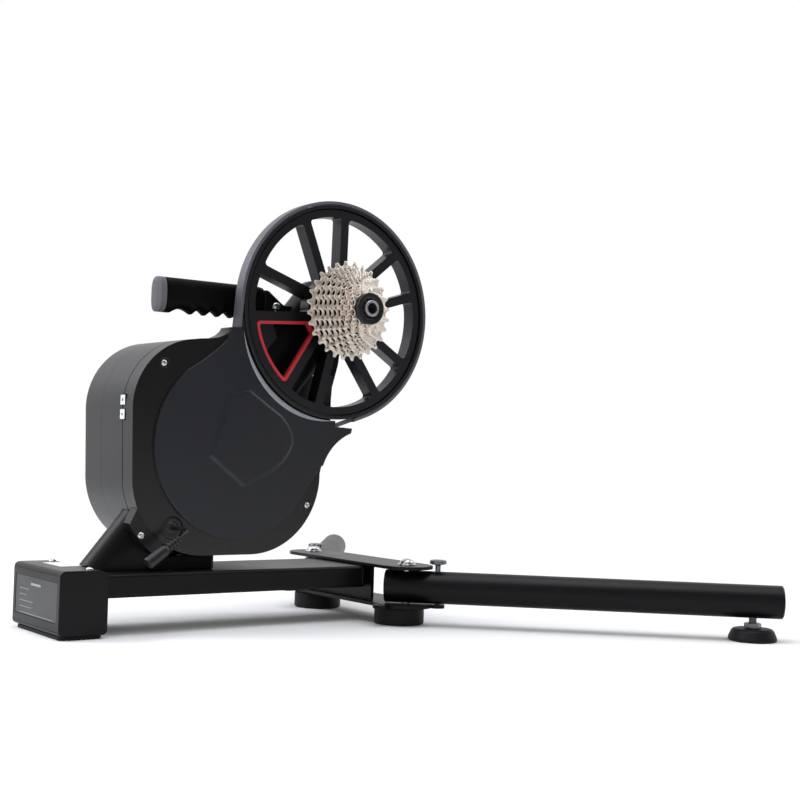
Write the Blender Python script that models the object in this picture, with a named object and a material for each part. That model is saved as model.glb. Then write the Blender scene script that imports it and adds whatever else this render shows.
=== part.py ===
"""Direct-drive bike trainer: folding stand, slanted main tube, belt drive and cassette.

Metres, +Z up. The origin is the middle of the rear foot's underside, +X is the way the
bike faces, and -Y is the drive side. Sizes in this file are millimetres: UNIT turns them
into metres where an object is made.
"""

from math import acos, asin, atan2, cos, degrees, hypot, pi, radians, sin, sqrt

import bmesh
import bpy

UNIT = 0.001
GAP = 0.3
MERGE = 0.002
SMOOTH_ANGLE = radians(32)

# Hub: the axle's line runs along Y
HUB_X = 313.0
HUB_Z = 366.0
AXLE_DRIVE_FACE = 120.0
AXLE_FAR_FACE = -15.0
AXLE_BORE = 6.25
AXLE_SLIM = 8.5
AXLE_THICK = 12.0

# Base beam and rear foot
BEAM_WIDTH = 110.0
BEAM_BOTTOM = 40.1
BEAM_TOP = 65.6
BEAM_WALL = 2.5
BEAM_START = 5.3
BEAM_END = 356.0
BEAM_CORNER = 4.0
BLOCK_HALF_LENGTH = 27.0
BLOCK_HALF_WIDTH = 64.0
BLOCK_TOP = 71.3
REAR_PAD_HEIGHT = 3.7
PANEL_WIDTH = 113.0
PANEL_HEIGHT = 42.0
PANEL_MIDDLE = 38.0
PANEL_THICKNESS = 0.9
PANEL_RECESS = 1.5

# Main tube: an oval section on a slanted axis through the hub, rounded about the axle
TUBE_SLANT = radians(50.6)
TUBE_DEPTH = 82.0
TUBE_WIDTH = 38.0
TUBE_WALL = 3.0
TUBE_MIDDLE_Y = -8.0
TUBE_LOW_END = -430.0
BLOCK_NOTCH = (27.4, 71.8)

# Casing, in the plane of the wheel: x from the hub, z from the floor
CASE_LEFT = -257.0
CASE_BOTTOM = 81.5
CASE_TOP = 321.5
CASE_WALL = 2.5
CASE_CORNER_RADIUS = 88.0
CASE_CORNER = ((-166.5, CASE_BOTTOM + CASE_CORNER_RADIUS), CASE_CORNER_RADIUS)
COVER_FRONT = 46.0
COVER_LOW_FRONT = 43.0
COVER_SEAM = 18.0
SHELL_SEAM = -36.0
CASE_BACK = -82.0
WHEEL_CUTOUT = 135.5
REAR_CUTOUT = 76.0

# Drive pulley
WHEEL_FRONT = 50.0
WHEEL_BACK = 34.0
TRACK_RADIUS = 127.3
TRACK_FRONT = 44.2
SPOKE_FRONT = 48.0
WINDOW_OUTER = 112.5
WINDOW_INNER = 41.0
SPOKE_WIDTH = 11.0
SPOKE_BACK = 29.5
SPOKE_SPLAY = 11.3
SPOKE_OFFSET = 5.6
SPOKE_PAIRS = 5
FIRST_PAIR = 28.5
TRIM_WINDOW = 2
TRIM_SPOKE_TURN = 4.0
TRIM_WIDTH = 3.4
BELT_RATIO = 8
BELT_THICKNESS = 3.7
BELT_FRONT = 49.6
BELT_ENTRY = (28.0, 338.6)

# Cassette
TEETH = (28, 25, 23, 21, 19, 17, 15, 14, 13, 12, 11)
LARGEST_FRONT = 72.7
SPROCKET_PITCH = 3.74
SPROCKET_THICKNESS = 1.6
CHAIN_PITCH = 12.7
FREEHUB_RADIUS = 17.0

# Flywheel, on the drive cover's round middle
FLYWHEEL_X = -125.0
FLYWHEEL_Z = 205.0
FLYWHEEL_RADIUS = 95.0
SHAFT_RADIUS = 7.0

# Hinge and legs
PIVOT_X = 388.0
PIVOT_Y = 100.5
PLATE_RADIUS = 31.0
PLATE_THICKNESS = 4.0
TOP_PLATE = 65.9
BOTTOM_PLATE = 20.8
LEG_RADIUS = 19.0
LEG_WALL = 2.0
LEG_HEIGHT = 44.6
LEG_INNER = 25.0
LEG_LENGTH = 430.0
LEG_RIGHT_ANGLE = radians(-43.6)
LEG_LEFT_ANGLE = radians(52.4)
FOOT_REACH = 400.0
PIN_REACH = 37.0
PIN_RADIUS = 3.2
EAR_RADIUS = 9.0
BOLT_RADIUS = 5.0

# Looks: colour, roughness, metallic
LOOKS = {
    "black_paint": ((0.021, 0.022, 0.024), 0.42, 0.0),
    "black_plastic": ((0.024, 0.025, 0.028), 0.5, 0.0),
    "shell_plastic": ((0.045, 0.047, 0.053), 0.45, 0.0),
    "wheel_paint": ((0.030, 0.031, 0.035), 0.38, 0.2),
    "red_plastic": ((0.42, 0.022, 0.025), 0.4, 0.0),
    "rubber": ((0.014, 0.014, 0.015), 0.75, 0.0),
    "cap_plastic": ((0.09, 0.092, 0.10), 0.4, 0.0),
    "nickel": ((0.66, 0.60, 0.54), 0.28, 1.0),
    "steel": ((0.55, 0.55, 0.56), 0.25, 1.0),
    "black_metal": ((0.02, 0.02, 0.021), 0.35, 0.6),
    "aluminium": ((0.62, 0.62, 0.63), 0.35, 1.0),
    "cast_iron": ((0.12, 0.12, 0.125), 0.5, 0.9),
    "belt": ((0.20, 0.20, 0.21), 0.6, 0.0),
    "lens": ((0.75, 0.76, 0.78), 0.2, 0.0),
    "sticker": ((0.80, 0.80, 0.80), 0.35, 0.0),
    "circuit_board": ((0.02, 0.10, 0.05), 0.5, 0.0),
}


def make_material(name, look):
    """Make one object's own Principled material."""
    colour, roughness, metallic = LOOKS[look]
    material = bpy.data.materials.new(name + "_" + look)
    material.use_nodes = True
    shader = material.node_tree.nodes["Principled BSDF"]
    shader.inputs["Base Color"].default_value = (*colour, 1.0)
    shader.inputs["Roughness"].default_value = roughness
    shader.inputs["Metallic"].default_value = metallic
    return material


def place(obj, parent, at, turn):
    """Put an object at a place in millimetres, turned by Euler angles."""
    obj.parent = parent
    obj.location = [UNIT * value for value in at]
    obj.rotation_euler = turn


def pivot(name, at, turn=(0, 0, 0)):
    """Make an empty that carries the pieces of one moving body."""
    empty = bpy.data.objects.new(name, None)
    bpy.context.collection.objects.link(empty)
    place(empty, None, at, turn)
    return empty


def add(name, bm, look, parent=None, at=(0, 0, 0), turn=(0, 0, 0)):
    """Turn a mesh in millimetres into a shaded object with its own material."""
    bmesh.ops.remove_doubles(bm, verts=bm.verts, dist=MERGE)
    bmesh.ops.recalc_face_normals(bm, faces=bm.faces)
    bmesh.ops.scale(bm, vec=(UNIT, UNIT, UNIT), verts=bm.verts)
    mesh = bpy.data.meshes.new(name)
    bm.to_mesh(mesh)
    bm.free()
    mesh.shade_smooth()
    mesh.set_sharp_from_angle(angle=SMOOTH_ANGLE)
    obj = bpy.data.objects.new(name, mesh)
    bpy.context.collection.objects.link(obj)
    place(obj, parent, at, turn)
    if look:
        mesh.materials.append(make_material(name, look))
    return obj


def tool(name, bm, parent=None, at=(0, 0, 0), turn=(0, 0, 0)):
    """Make a hidden solid that other objects are cut or joined with."""
    obj = add(name, bm, None, parent, at, turn)
    obj.hide_render = True
    obj.display_type = "WIRE"
    return obj


def combine(target, other, operation):
    """Cut a hidden solid out of an object, or join it on."""
    modifier = target.modifiers.new(other.name, "BOOLEAN")
    modifier.operation = operation
    modifier.solver = "EXACT"
    modifier.object = other


def round_edges(obj, width, segments, angle=radians(50)):
    """Round an object's sharp edges."""
    modifier = obj.modifiers.new("rounding", "BEVEL")
    modifier.width = UNIT * width
    modifier.segments = segments
    modifier.limit_method = "ANGLE"
    modifier.angle_limit = angle
    modifier.use_clamp_overlap = True


# Turned toward the drive side: local Z runs along -Y, local Y along +Z
OUTBOARD = (pi / 2, 0, 0)
ALONG_X = (0, pi / 2, 0)


def arc(centre, radius, start, end, steps):
    """Give points along an arc, angles in degrees."""
    turns = [radians(start + (end - start) * i / steps) for i in range(steps + 1)]
    return [(centre[0] + radius * cos(t), centre[1] + radius * sin(t)) for t in turns]


def circle(radius, steps, centre=(0.0, 0.0)):
    """Give a circle's points."""
    return arc(centre, radius, 0, 360, steps)[:-1]


def rounded(corners, steps=3):
    """Round the corners of an outline that have a radius as their third value."""
    outline = []
    count = len(corners)
    for i, corner in enumerate(corners):
        if len(corner) < 3:
            outline.append(corner)
            continue
        x, y, radius = corner
        before, after = corners[i - 1], corners[(i + 1) % count]
        into = atan2(before[1] - y, before[0] - x)
        out = atan2(after[1] - y, after[0] - x)
        spread = (out - into + pi) % (2 * pi) - pi
        middle = into + spread / 2
        reach = radius / sin(abs(spread) / 2)
        cx, cy = x + reach * cos(middle), y + reach * sin(middle)
        sweep = (pi - abs(spread)) * (1 if spread < 0 else -1)
        first = middle + pi - sweep / 2
        for k in range(steps + 1):
            angle = first + sweep * k / steps
            outline.append((cx + radius * cos(angle), cy + radius * sin(angle)))
    return outline


def rectangle(width, height, radius, steps=3, centre=(0.0, 0.0)):
    """Give a rectangle with round corners."""
    x, y = centre
    w, h = width / 2, height / 2
    sides = ((x - w, y - h), (x + w, y - h), (x + w, y + h), (x - w, y + h))
    return rounded([(px, py, radius) for px, py in sides], steps)


def draw_loop(bm, points, height=0.0):
    """Add a closed loop of edges at a height."""
    verts = [bm.verts.new((x, y, height)) for x, y in points]
    return [bm.edges.new(pair) for pair in zip(verts, verts[1:] + verts[:1])]


def plate(loops, depth, base=0.0):
    """Fill the outer loop, less the holes, and extrude it upward."""
    bm = bmesh.new()
    edges = [edge for loop in loops for edge in draw_loop(bm, loop, base)]
    bmesh.ops.triangle_fill(bm, use_beauty=True, use_dissolve=len(loops) == 1, edges=edges)
    grown = bmesh.ops.extrude_face_region(bm, geom=bm.faces[:])
    top = [item for item in grown["geom"] if isinstance(item, bmesh.types.BMVert)]
    bmesh.ops.translate(bm, verts=top, vec=(0, 0, depth))
    return bm


def turned(profile, segments):
    """Spin a closed profile of (radius, height) points about Z."""
    bm = bmesh.new()
    verts = [bm.verts.new((radius, 0, height)) for radius, height in profile]
    pairs = list(zip(verts, verts[1:]))
    if profile[0][0] > 0 or profile[-1][0] > 0:
        pairs.append((verts[-1], verts[0]))
    edges = [bm.edges.new(pair) for pair in pairs]
    bmesh.ops.spin(bm, geom=verts + edges, cent=(0, 0, 0), axis=(0, 0, 1), angle=2 * pi,
                   steps=segments, use_merge=True, use_duplicate=False)
    return bm


def loft(rings):
    """Skin rings of points with equal counts and close both ends."""
    bm = bmesh.new()
    loops = [[bm.verts.new(point) for point in ring] for ring in rings]
    for low, high in zip(loops, loops[1:]):
        for i in range(len(low)):
            j = (i + 1) % len(low)
            bm.faces.new((low[i], low[j], high[j], high[i]))
    bm.faces.new(loops[0])
    bm.faces.new(loops[-1])
    return bm


def box(size, centre=(0, 0, 0)):
    """Make a plain box, used for cutters and hidden inner pieces."""
    bm = bmesh.new()
    bmesh.ops.create_cube(bm, size=1)
    bmesh.ops.scale(bm, vec=size, verts=bm.verts)
    bmesh.ops.translate(bm, vec=centre, verts=bm.verts)
    return bm


def inset_face(bm, face, thickness, depth=0.0):
    """Inset one flat face evenly, and raise its inner part by a depth."""
    bm.normal_update()
    bmesh.ops.inset_region(bm, faces=[face], thickness=thickness, depth=depth,
                           use_even_offset=True, use_boundary=True)


def draw_out(bm, face, move, keep=False):
    """Extrude one face by a move along Z, and give the new end face."""
    grown = bmesh.ops.extrude_face_region(bm, geom=[face])
    verts = [item for item in grown["geom"] if isinstance(item, bmesh.types.BMVert)]
    ends = [item for item in grown["geom"] if isinstance(item, bmesh.types.BMFace)]
    bmesh.ops.translate(bm, verts=verts, vec=(0, 0, move))
    if not keep and face.is_valid:
        bmesh.ops.delete(bm, geom=[face], context="FACES_ONLY")
    return ends[0]


def cup(outline, low, high, wall, floor, edge):
    """Make a shell open at the low side, with a round edge about its closed side."""
    bm = bmesh.new()
    draw_loop(bm, outline, low)
    rim = bm.faces.new(bm.verts[:])
    toward = 1 if high > low else -1
    lid = draw_out(bm, rim, high - low - toward * edge, keep=True)
    bmesh.ops.recalc_face_normals(bm, faces=bm.faces)
    if edge:
        inset_face(bm, lid, edge * (1 - cos(pi / 4)), edge * sin(pi / 4))
        inset_face(bm, lid, edge * cos(pi / 4), edge * (1 - sin(pi / 4)))
    inset_face(bm, rim, wall)
    draw_out(bm, rim, high - low - toward * floor)
    return bm


def screw_head(name, radius, height, parent, at, turn, look="steel"):
    """Make a button head with a round socket, its flat underside at the given place."""
    profile = [(0, 0), (radius, 0), (radius, 0.35 * height), (0.8 * radius, 0.8 * height),
               (0.55 * radius, height), (0.42 * radius, height), (0.42 * radius, 0.5 * height),
               (0, 0.5 * height)]
    return add(name, turned(profile, 12), look, parent, at, turn)


# Base

def base_beam():
    """Flat rectangular tube between the rear foot and the hinge, with its front plug."""
    height = BEAM_TOP - BEAM_BOTTOM
    middle = (BEAM_TOP + BEAM_BOTTOM) / 2
    outer = rectangle(height, BEAM_WIDTH, BEAM_CORNER)
    inner = rectangle(height - 2 * BEAM_WALL, BEAM_WIDTH - 2 * BEAM_WALL, 1.0, 1)
    add("base_beam", plate([outer, inner], BEAM_END - BEAM_START), "black_paint",
        at=(BEAM_START, 0, middle), turn=ALONG_X)
    flange = 5.2
    plug_depth = 10.0
    bm = plate([rectangle(height, BEAM_WIDTH, BEAM_CORNER)], flange, base=GAP)
    base = min(bm.faces, key=lambda face: face.calc_center_median().z)
    bmesh.ops.recalc_face_normals(bm, faces=bm.faces)
    inset_face(bm, base, BEAM_WALL + GAP)
    draw_out(bm, base, -plug_depth)
    add("beam_end_cap", bm, "black_plastic", at=(BEAM_END, 0, middle), turn=ALONG_X)


def rear_foot():
    """Moulded foot block over the beam's end, its rubber pad, panel, sticker and screws."""
    low = REAR_PAD_HEIGHT + GAP
    half = BLOCK_HALF_LENGTH
    slope_start = 17.0
    lip_top = 67.2
    side = rounded([(-half, low, 5), (half, low, 5), (half, lip_top), (slope_start, BLOCK_TOP),
                    (-half, BLOCK_TOP, 6)], 2)
    block = add("rear_foot_block", plate([side], 2 * BLOCK_HALF_WIDTH, -BLOCK_HALF_WIDTH),
                "black_plastic", turn=OUTBOARD)
    round_edges(block, 4.0, 2)
    pocket_start = BEAM_START - GAP
    pocket = box((60, BEAM_WIDTH + 2 * GAP, BEAM_TOP - BEAM_BOTTOM + 2 * GAP),
                 (pocket_start + 30, 0, (BEAM_TOP + BEAM_BOTTOM) / 2))
    combine(block, tool("beam_pocket", pocket), "DIFFERENCE")
    recess = box((2 * PANEL_RECESS, PANEL_WIDTH, PANEL_HEIGHT), (-half, 0, PANEL_MIDDLE))
    combine(block, tool("panel_recess", recess), "DIFFERENCE")
    panel = rectangle(PANEL_HEIGHT - 2 * GAP, PANEL_WIDTH - 2 * GAP, 2, 2)
    add("block_end_panel", plate([panel], PANEL_THICKNESS), "black_paint",
        at=(PANEL_RECESS - half - GAP - PANEL_THICKNESS, 0, PANEL_MIDDLE), turn=ALONG_X)
    pad = rectangle(48, 122, 8)
    add("rear_foot_pad", plate([pad], REAR_PAD_HEIGHT), "rubber")
    sticker = rectangle(22, 50, 2, 2)
    add("block_top_sticker", plate([sticker], 0.4), "sticker", at=(4, 9, BLOCK_TOP + GAP))
    for name, y in (("block_screw_right", -50), ("block_screw_left", 50)):
        screw_head(name, 4.2, 2.6, None, (11, y, BLOCK_TOP + GAP), (0, 0, 0))


# Main tube and what is fixed to it

def tube_section(grow=0.0):
    """Give the oval section: along the slanted plane first, then across."""
    radius = TUBE_WIDTH / 2 + grow
    flat = (TUBE_DEPTH - TUBE_WIDTH) / 2
    return arc((flat, 0), radius, -90, 90, 8) + arc((-flat, 0), radius, 90, 270, 8)


def tube_solid(grow=0.0, low=TUBE_LOW_END, high=TUBE_DEPTH / 2):
    """Make the tube's solid, heights along its slanted axis from the hub."""
    return plate([tube_section(grow)], high - low, low)


def tube_end_tool(name, grow):
    """Make the solid that rounds a tube's upper end about the axle."""
    radius = TUBE_DEPTH / 2 + grow
    across = (-sin(TUBE_SLANT) * radius, cos(TUBE_SLANT) * radius)
    reach = 2 * TUBE_LOW_END
    down = (cos(TUBE_SLANT) * reach, sin(TUBE_SLANT) * reach)
    outline = arc((0, 0), radius, degrees(TUBE_SLANT) - 90, degrees(TUBE_SLANT) + 90, 16)
    outline += [(across[0] + down[0], across[1] + down[1]), (down[0] - across[0], down[1] - across[1])]
    return tool(name, plate([outline], 2 * TUBE_WIDTH, -TUBE_WIDTH), at=TUBE_AT, turn=OUTBOARD)


TUBE_TURN = (0, pi / 2 - TUBE_SLANT, 0)
TUBE_AT = (HUB_X, TUBE_MIDDLE_Y, HUB_Z)


def main_tube():
    """Slanted tube, closed on top, cut flat on the beam, bored for the axle and the shaft."""
    tube = add("main_tube", tube_solid(), "black_paint", at=TUBE_AT, turn=TUBE_TURN)
    combine(tube, tube_end_tool("tube_end", 0.0), "INTERSECT")
    hollow = tool("tube_hollow", tube_solid(-TUBE_WALL, TUBE_LOW_END - 10), at=TUBE_AT, turn=TUBE_TURN)
    combine(hollow, tube_end_tool("tube_hollow_end", -TUBE_WALL), "INTERSECT")
    combine(tube, hollow, "DIFFERENCE")
    below = box((300, 100, 120), (60, 0, BEAM_TOP + GAP - 60))
    combine(tube, tool("tube_foot_cut", below), "DIFFERENCE")
    notch_end, notch_top = BLOCK_NOTCH
    notch = box((60, 100, 60), (notch_end - 30, 0, notch_top - 30))
    combine(tube, tool("tube_block_notch", notch), "DIFFERENCE")
    axle_hole = turned([(0, -30), (AXLE_THICK + GAP, -30), (AXLE_THICK + GAP, 60), (0, 60)], 24)
    combine(tube, tool("axle_hole", axle_hole, at=(HUB_X, 0, HUB_Z), turn=OUTBOARD), "DIFFERENCE")
    sleeve = BEARING_OUTER + GAP
    shaft_hole = turned([(0, -30), (sleeve, -30), (sleeve, 60), (0, 60)], 20)
    combine(tube, tool("shaft_hole", shaft_hole, at=SHAFT_AT, turn=OUTBOARD), "DIFFERENCE")


# Bracket round the casing's rear corner: angles about the corner's centre
SADDLE_THICKNESS = 16.0
SADDLE_ANGLES = (205.5, 236.0)
SADDLE_INNER_TURN = -2.0
SADDLE_OUTER_TURN = 4.0
SADDLE_CUT = (4.6, -7.6)
SADDLE_FRONT = 44.0
SADDLE_SCREW = (-242.4, 104.9)
TUBE_CLEARANCE = 0.4

# Block between beam and casing, seen from above
SUPPORT_X = (89.0, 137.0, 169.0)
SUPPORT_Y = (-34.0, 14.0)
SUPPORT_CORNER = 6.0


def saddle_and_support():
    """Curved bracket at the casing's rear corner, its screw, and the block under the casing."""
    (x, z), radius = CASE_CORNER
    outer = radius + SADDLE_THICKNESS
    start, end = SADDLE_ANGLES
    tip = radians(start)
    cut_end = (x + outer * cos(tip) + SADDLE_CUT[0], z + outer * sin(tip) + SADDLE_CUT[1])
    band = arc((x, z), radius + GAP, start + SADDLE_INNER_TURN, end, 9)
    band += arc((x, z), outer, end, start + SADDLE_OUTER_TURN, 7) + [cut_end]
    tube_front = TUBE_WIDTH / 2 - TUBE_MIDDLE_Y
    base = tube_front + TUBE_CLEARANCE
    add("casing_saddle", plate([band], SADDLE_FRONT - base, base), "black_metal",
        at=(HUB_X, 0, 0), turn=OUTBOARD)
    screw_x, screw_z = SADDLE_SCREW
    screw_head("saddle_screw", 4.0, 2.5, None, (HUB_X + screw_x, -SADDLE_FRONT - GAP, screw_z),
               OUTBOARD)
    left, block_left, right = SUPPORT_X
    near, far = SUPPORT_Y
    outline = [(left, near), (right - SUPPORT_CORNER, near), (right, near + SUPPORT_CORNER),
               (right, far), (block_left, far), (block_left, -base), (left, -base)]
    low = BEAM_TOP + GAP
    add("casing_support", plate([outline], CASE_BOTTOM - GAP - low, low), "rubber")


def hub_brace():
    """Curved flat arm from the casing's side to an eye about the axle's far end."""
    eye = 20.0
    left = [(-296.6, 236), (-295.6, 263.4), (-286.6, 298.6), (-281.6, 322.6), (-285, 338)]
    right = [(-273, 350), (-267.6, 322), (-272.6, 296), (-281.6, 262), (-282.4, 236)]
    left = [(x + HUB_X, z) for x, z in left]
    right = [(x + HUB_X, z) for x, z in right]
    around = arc((0, HUB_Z), eye, 300, 20, 14)
    hole = circle(AXLE_THICK + GAP, 24, (0, HUB_Z))
    add("hub_brace", plate([left + around + right, hole], 3.3, -14.6), "black_paint",
        at=(HUB_X, 0, 0), turn=OUTBOARD)


# Handle

HANDLE_OUTER = -210.1
HANDLE_MIDDLE_Y = -10.0
BAR_END = -76.0
BAR_LOW = 361.0
BAR_HIGH = 383.0
BAR_HALF_WIDTH = 7.0
ARM_LOW = 357.5
ARM_HIGH = 384.5
ARM_HALF_WIDTH = 10.0
LUG_LOW = 350.0
LUG_HIGH = 374.6
ARM_START = -84.5
GRIP_TOP = 390.5
GRIP_BOTTOM = 351.0
GRIP_HALF_WIDTH = 13.0
GRIP_INNER = -85.0
GROOVE_ENDS = (-202.4, -174.9, -157.7, -140.5, -123.3, -106.1, -88.9)
GROOVE_DEPTH = 5.0
GRIP_SIDES = 16


def grip_ring(x, inset=0.0, side_inset=0.0):
    """Give the grip's oval section at a place along it."""
    bottom = GRIP_BOTTOM
    for start, end in zip(GROOVE_ENDS, GROOVE_ENDS[1:]):
        if start < x < end:
            bottom += GROOVE_DEPTH * sin(pi * (x - start) / (end - start))
    middle, half = (GRIP_TOP + bottom) / 2, (GRIP_TOP - bottom) / 2 - inset
    width = GRIP_HALF_WIDTH - side_inset
    ring = []
    for k in range(GRIP_SIDES):
        turn = 2 * pi * k / GRIP_SIDES
        across, up = cos(turn), sin(turn)
        shape = 1 / (abs(across) ** 3 + abs(up) ** 3) ** (1 / 3)
        ring.append((x, HANDLE_MIDDLE_Y + width * across * shape, middle + half * up * shape))
    return ring


def handle():
    """Carry handle: a core from the tube, a rubber grip with finger grooves, cap and bolt."""
    half = BAR_HALF_WIDTH
    bar = [(HANDLE_OUTER, BAR_LOW), (BAR_END, BAR_LOW), (BAR_END, BAR_HIGH), (HANDLE_OUTER, BAR_HIGH)]
    core = add("handle_core", plate([bar], 2 * half, -HANDLE_MIDDLE_Y - half), "black_paint",
               at=(HUB_X, 0, 0), turn=OUTBOARD)
    round_edges(core, 3.0, 2, radians(60))
    outline = [(ARM_START, ARM_LOW), (-74, LUG_LOW), (-44, LUG_LOW), (-44, LUG_HIGH),
               (-73, LUG_HIGH), (ARM_START, ARM_HIGH)]
    half = ARM_HALF_WIDTH
    arm = plate([outline], 2 * half, -HANDLE_MIDDLE_Y - half)
    arm = tool("handle_arm", arm, at=(HUB_X, 0, 0), turn=OUTBOARD)
    round_edges(arm, 3.0, 2, radians(60))
    combine(core, arm, "UNION")
    seat = tool("handle_seat", tube_solid(GAP, -80.0), at=TUBE_AT, turn=TUBE_TURN)
    combine(core, seat, "DIFFERENCE")
    stations = [HANDLE_OUTER]
    for start, end in zip(GROOVE_ENDS, GROOVE_ENDS[1:]):
        steps = round((end - start) / 6)
        stations += [start + (end - start) * k / steps for k in range(steps)]
    stations += [GROOVE_ENDS[-1], GRIP_INNER]
    grip = add("handle_grip", loft([grip_ring(x) for x in stations]), "rubber", at=(HUB_X, 0, 0))
    high, wide = BAR_HIGH - BAR_LOW + 2 * GAP, 2 * BAR_HALF_WIDTH + 2 * GAP
    bore = plate([rectangle(high, wide, 2, 1)], 140.0)
    centre = (HUB_X + HANDLE_OUTER - 10, HANDLE_MIDDLE_Y, (BAR_LOW + BAR_HIGH) / 2)
    combine(grip, tool("grip_bore", bore, at=centre, turn=ALONG_X), "DIFFERENCE")
    start = HANDLE_OUTER - GAP
    cap = loft([grip_ring(start), grip_ring(start - 7.4), grip_ring(start - 10.0, 4.5, 8.0)])
    add("handle_end_cap", cap, "cap_plastic", at=(HUB_X, 0, 0))
    screw_head("handle_bolt", 6.0, 4.2, None, (HUB_X - 68, HANDLE_MIDDLE_Y - half - GAP, 367.5),
               OUTBOARD)


# Casing

def casing_left(top_start):
    """Give the outline shared by all three shells: top left round to the right side."""
    centre, radius = CASE_CORNER
    points = arc((CASE_LEFT + 78, CASE_TOP - 78), 78, top_start, 180, 7)
    points += arc(centre, radius, 180, 270, 8)
    points += arc((-105, CASE_BOTTOM + 91), 91, 270, 355, 8)
    return points


# The hook on the drive cover's top, and the hollow of the casing's right side
HOOK = [(-139.6, 338.0), (-142.0, 333.6), (-147.0, 329.2), (-155.0, 325.4), (-166.0, 323.4),
        (-178.0, 322.4)]
SIDE_HOLLOW = ((49.0, 162.5), 64.3)


def cover_outline():
    """Give the drive cover's outline: casing, lip, the hollow about the wheel and the neck."""
    centre, radius = SIDE_HOLLOW
    points = casing_left(95)
    points += arc(centre, radius, 168.8, 110.1, 5)
    points += [(28.3, 228.9)]
    points += arc((0, HUB_Z), WHEEL_CUTOUT, -89.6, -168.2, 12)
    return points + HOOK


def rear_outline():
    """Give the middle and far shells' outline, which reach in behind the wheel."""
    centre, radius = SIDE_HOLLOW
    points = casing_left(90)
    points += arc(centre, radius, 168.8, 121, 4)
    points += [(15.0, 262.0)]
    level = degrees(asin((HUB_Z - CASE_TOP) / REAR_CUTOUT))
    return points + arc((0, HUB_Z), REAR_CUTOUT, -77, level - 180, 7)


# The raised middle of the drive cover: a round field that runs up into the neck
FIELD_CENTRE = (-125.0, 205.0)
FIELD_RADIUS = 106.0
NECK_SIDE = [(-144.5, 324.0), (-161.7, 308.3), (-176.5, 297.0)]


def lowered_zone():
    """Give the outline of the cover's lowered rim, which passes outside the casing."""
    far = 40.0
    field = arc(FIELD_CENTRE, FIELD_RADIUS, 129, 310, 20)
    left, bottom = CASE_LEFT - far, CASE_BOTTOM - far
    outside = [(30.0, 170.0), (30.0, bottom), (left, bottom), (left, 380.0), (-150.0, 380.0)]
    return NECK_SIDE + field + [(-14.0, 184.0)] + outside + [(-150.0, 334.0)]


def field_pocket():
    """Give the outline of the hollow behind the raised field."""
    field = arc(FIELD_CENTRE, FIELD_RADIUS - CASE_WALL, 125, 310, 10)
    wheel_side = arc((0, HUB_Z), WHEEL_CUTOUT + CASE_WALL, -91, -163, 8)
    return field + [(-20.0, 180.0), (2.0, 222.0)] + wheel_side + [(-137.5, 320.0), (-161.5, 304.5)]


def shell_mouth(flange):
    """Give the outline of the middle shell's open front, inside a flange."""
    points = arc((CASE_LEFT + 78, CASE_TOP - 78), 78 - flange, 80, 180, 7)
    centre, radius = CASE_CORNER
    points += arc(centre, radius - flange, 180, 270, 8)
    points += arc((-105, CASE_BOTTOM + 91), 91 - flange, 270, 350, 7)
    centre, radius = SIDE_HOLLOW
    points += arc(centre, radius + flange, 168.8, 125, 3)
    return points + arc((0, HUB_Z), WHEEL_CUTOUT + flange + 2, -93, -160, 8)


def belt_loop(offset):
    """Give the belt's path, moved outward from the pulleys' tracks by an offset."""
    wheel = TRACK_RADIUS + offset
    small = TRACK_RADIUS / BELT_RATIO + offset
    dx, dz = FLYWHEEL_X, FLYWHEEL_Z - HUB_Z
    toward = degrees(atan2(dz, dx))
    spread = degrees(acos((wheel - small) / hypot(dx, dz)))
    upper, lower = toward - spread, toward + spread
    around = arc((0, HUB_Z), wheel, lower, upper + 360, 44)
    return around + arc((FLYWHEEL_X, FLYWHEEL_Z), small, upper, lower, 8)


CASE_AT = (HUB_X, 0, 0)
CORD_HOLE = (-204.0, 112.5)
CORD_HOLE_RADIUS = 12.6
COVER_SCREWS = {"cover_screw_upper": (-221.0, 292.6), "cover_screw_lower": (-30.0, 137.0)}
WINDOWS = {"status_window_upper": 251.0, "status_window_lower": 235.3}
WINDOW_SIZE = (2.8, 10.0, 13.0)


# Lip of the drive cover about the wheel, in front of the belt: degrees about the hub
LIP_RADIUS = 128.8
LIP_BACK = 44.3
LIP_ANGLES = (-88.5, -167.2)


def round_tool(name, radius, centre, low, high, steps):
    """Make a round cutter through the casing's plane."""
    profile = [(0, low), (radius, low), (radius, high), (0, high)]
    x, z = centre
    return tool(name, turned(profile, steps), at=(HUB_X + x, 0, z), turn=OUTBOARD)


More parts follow.
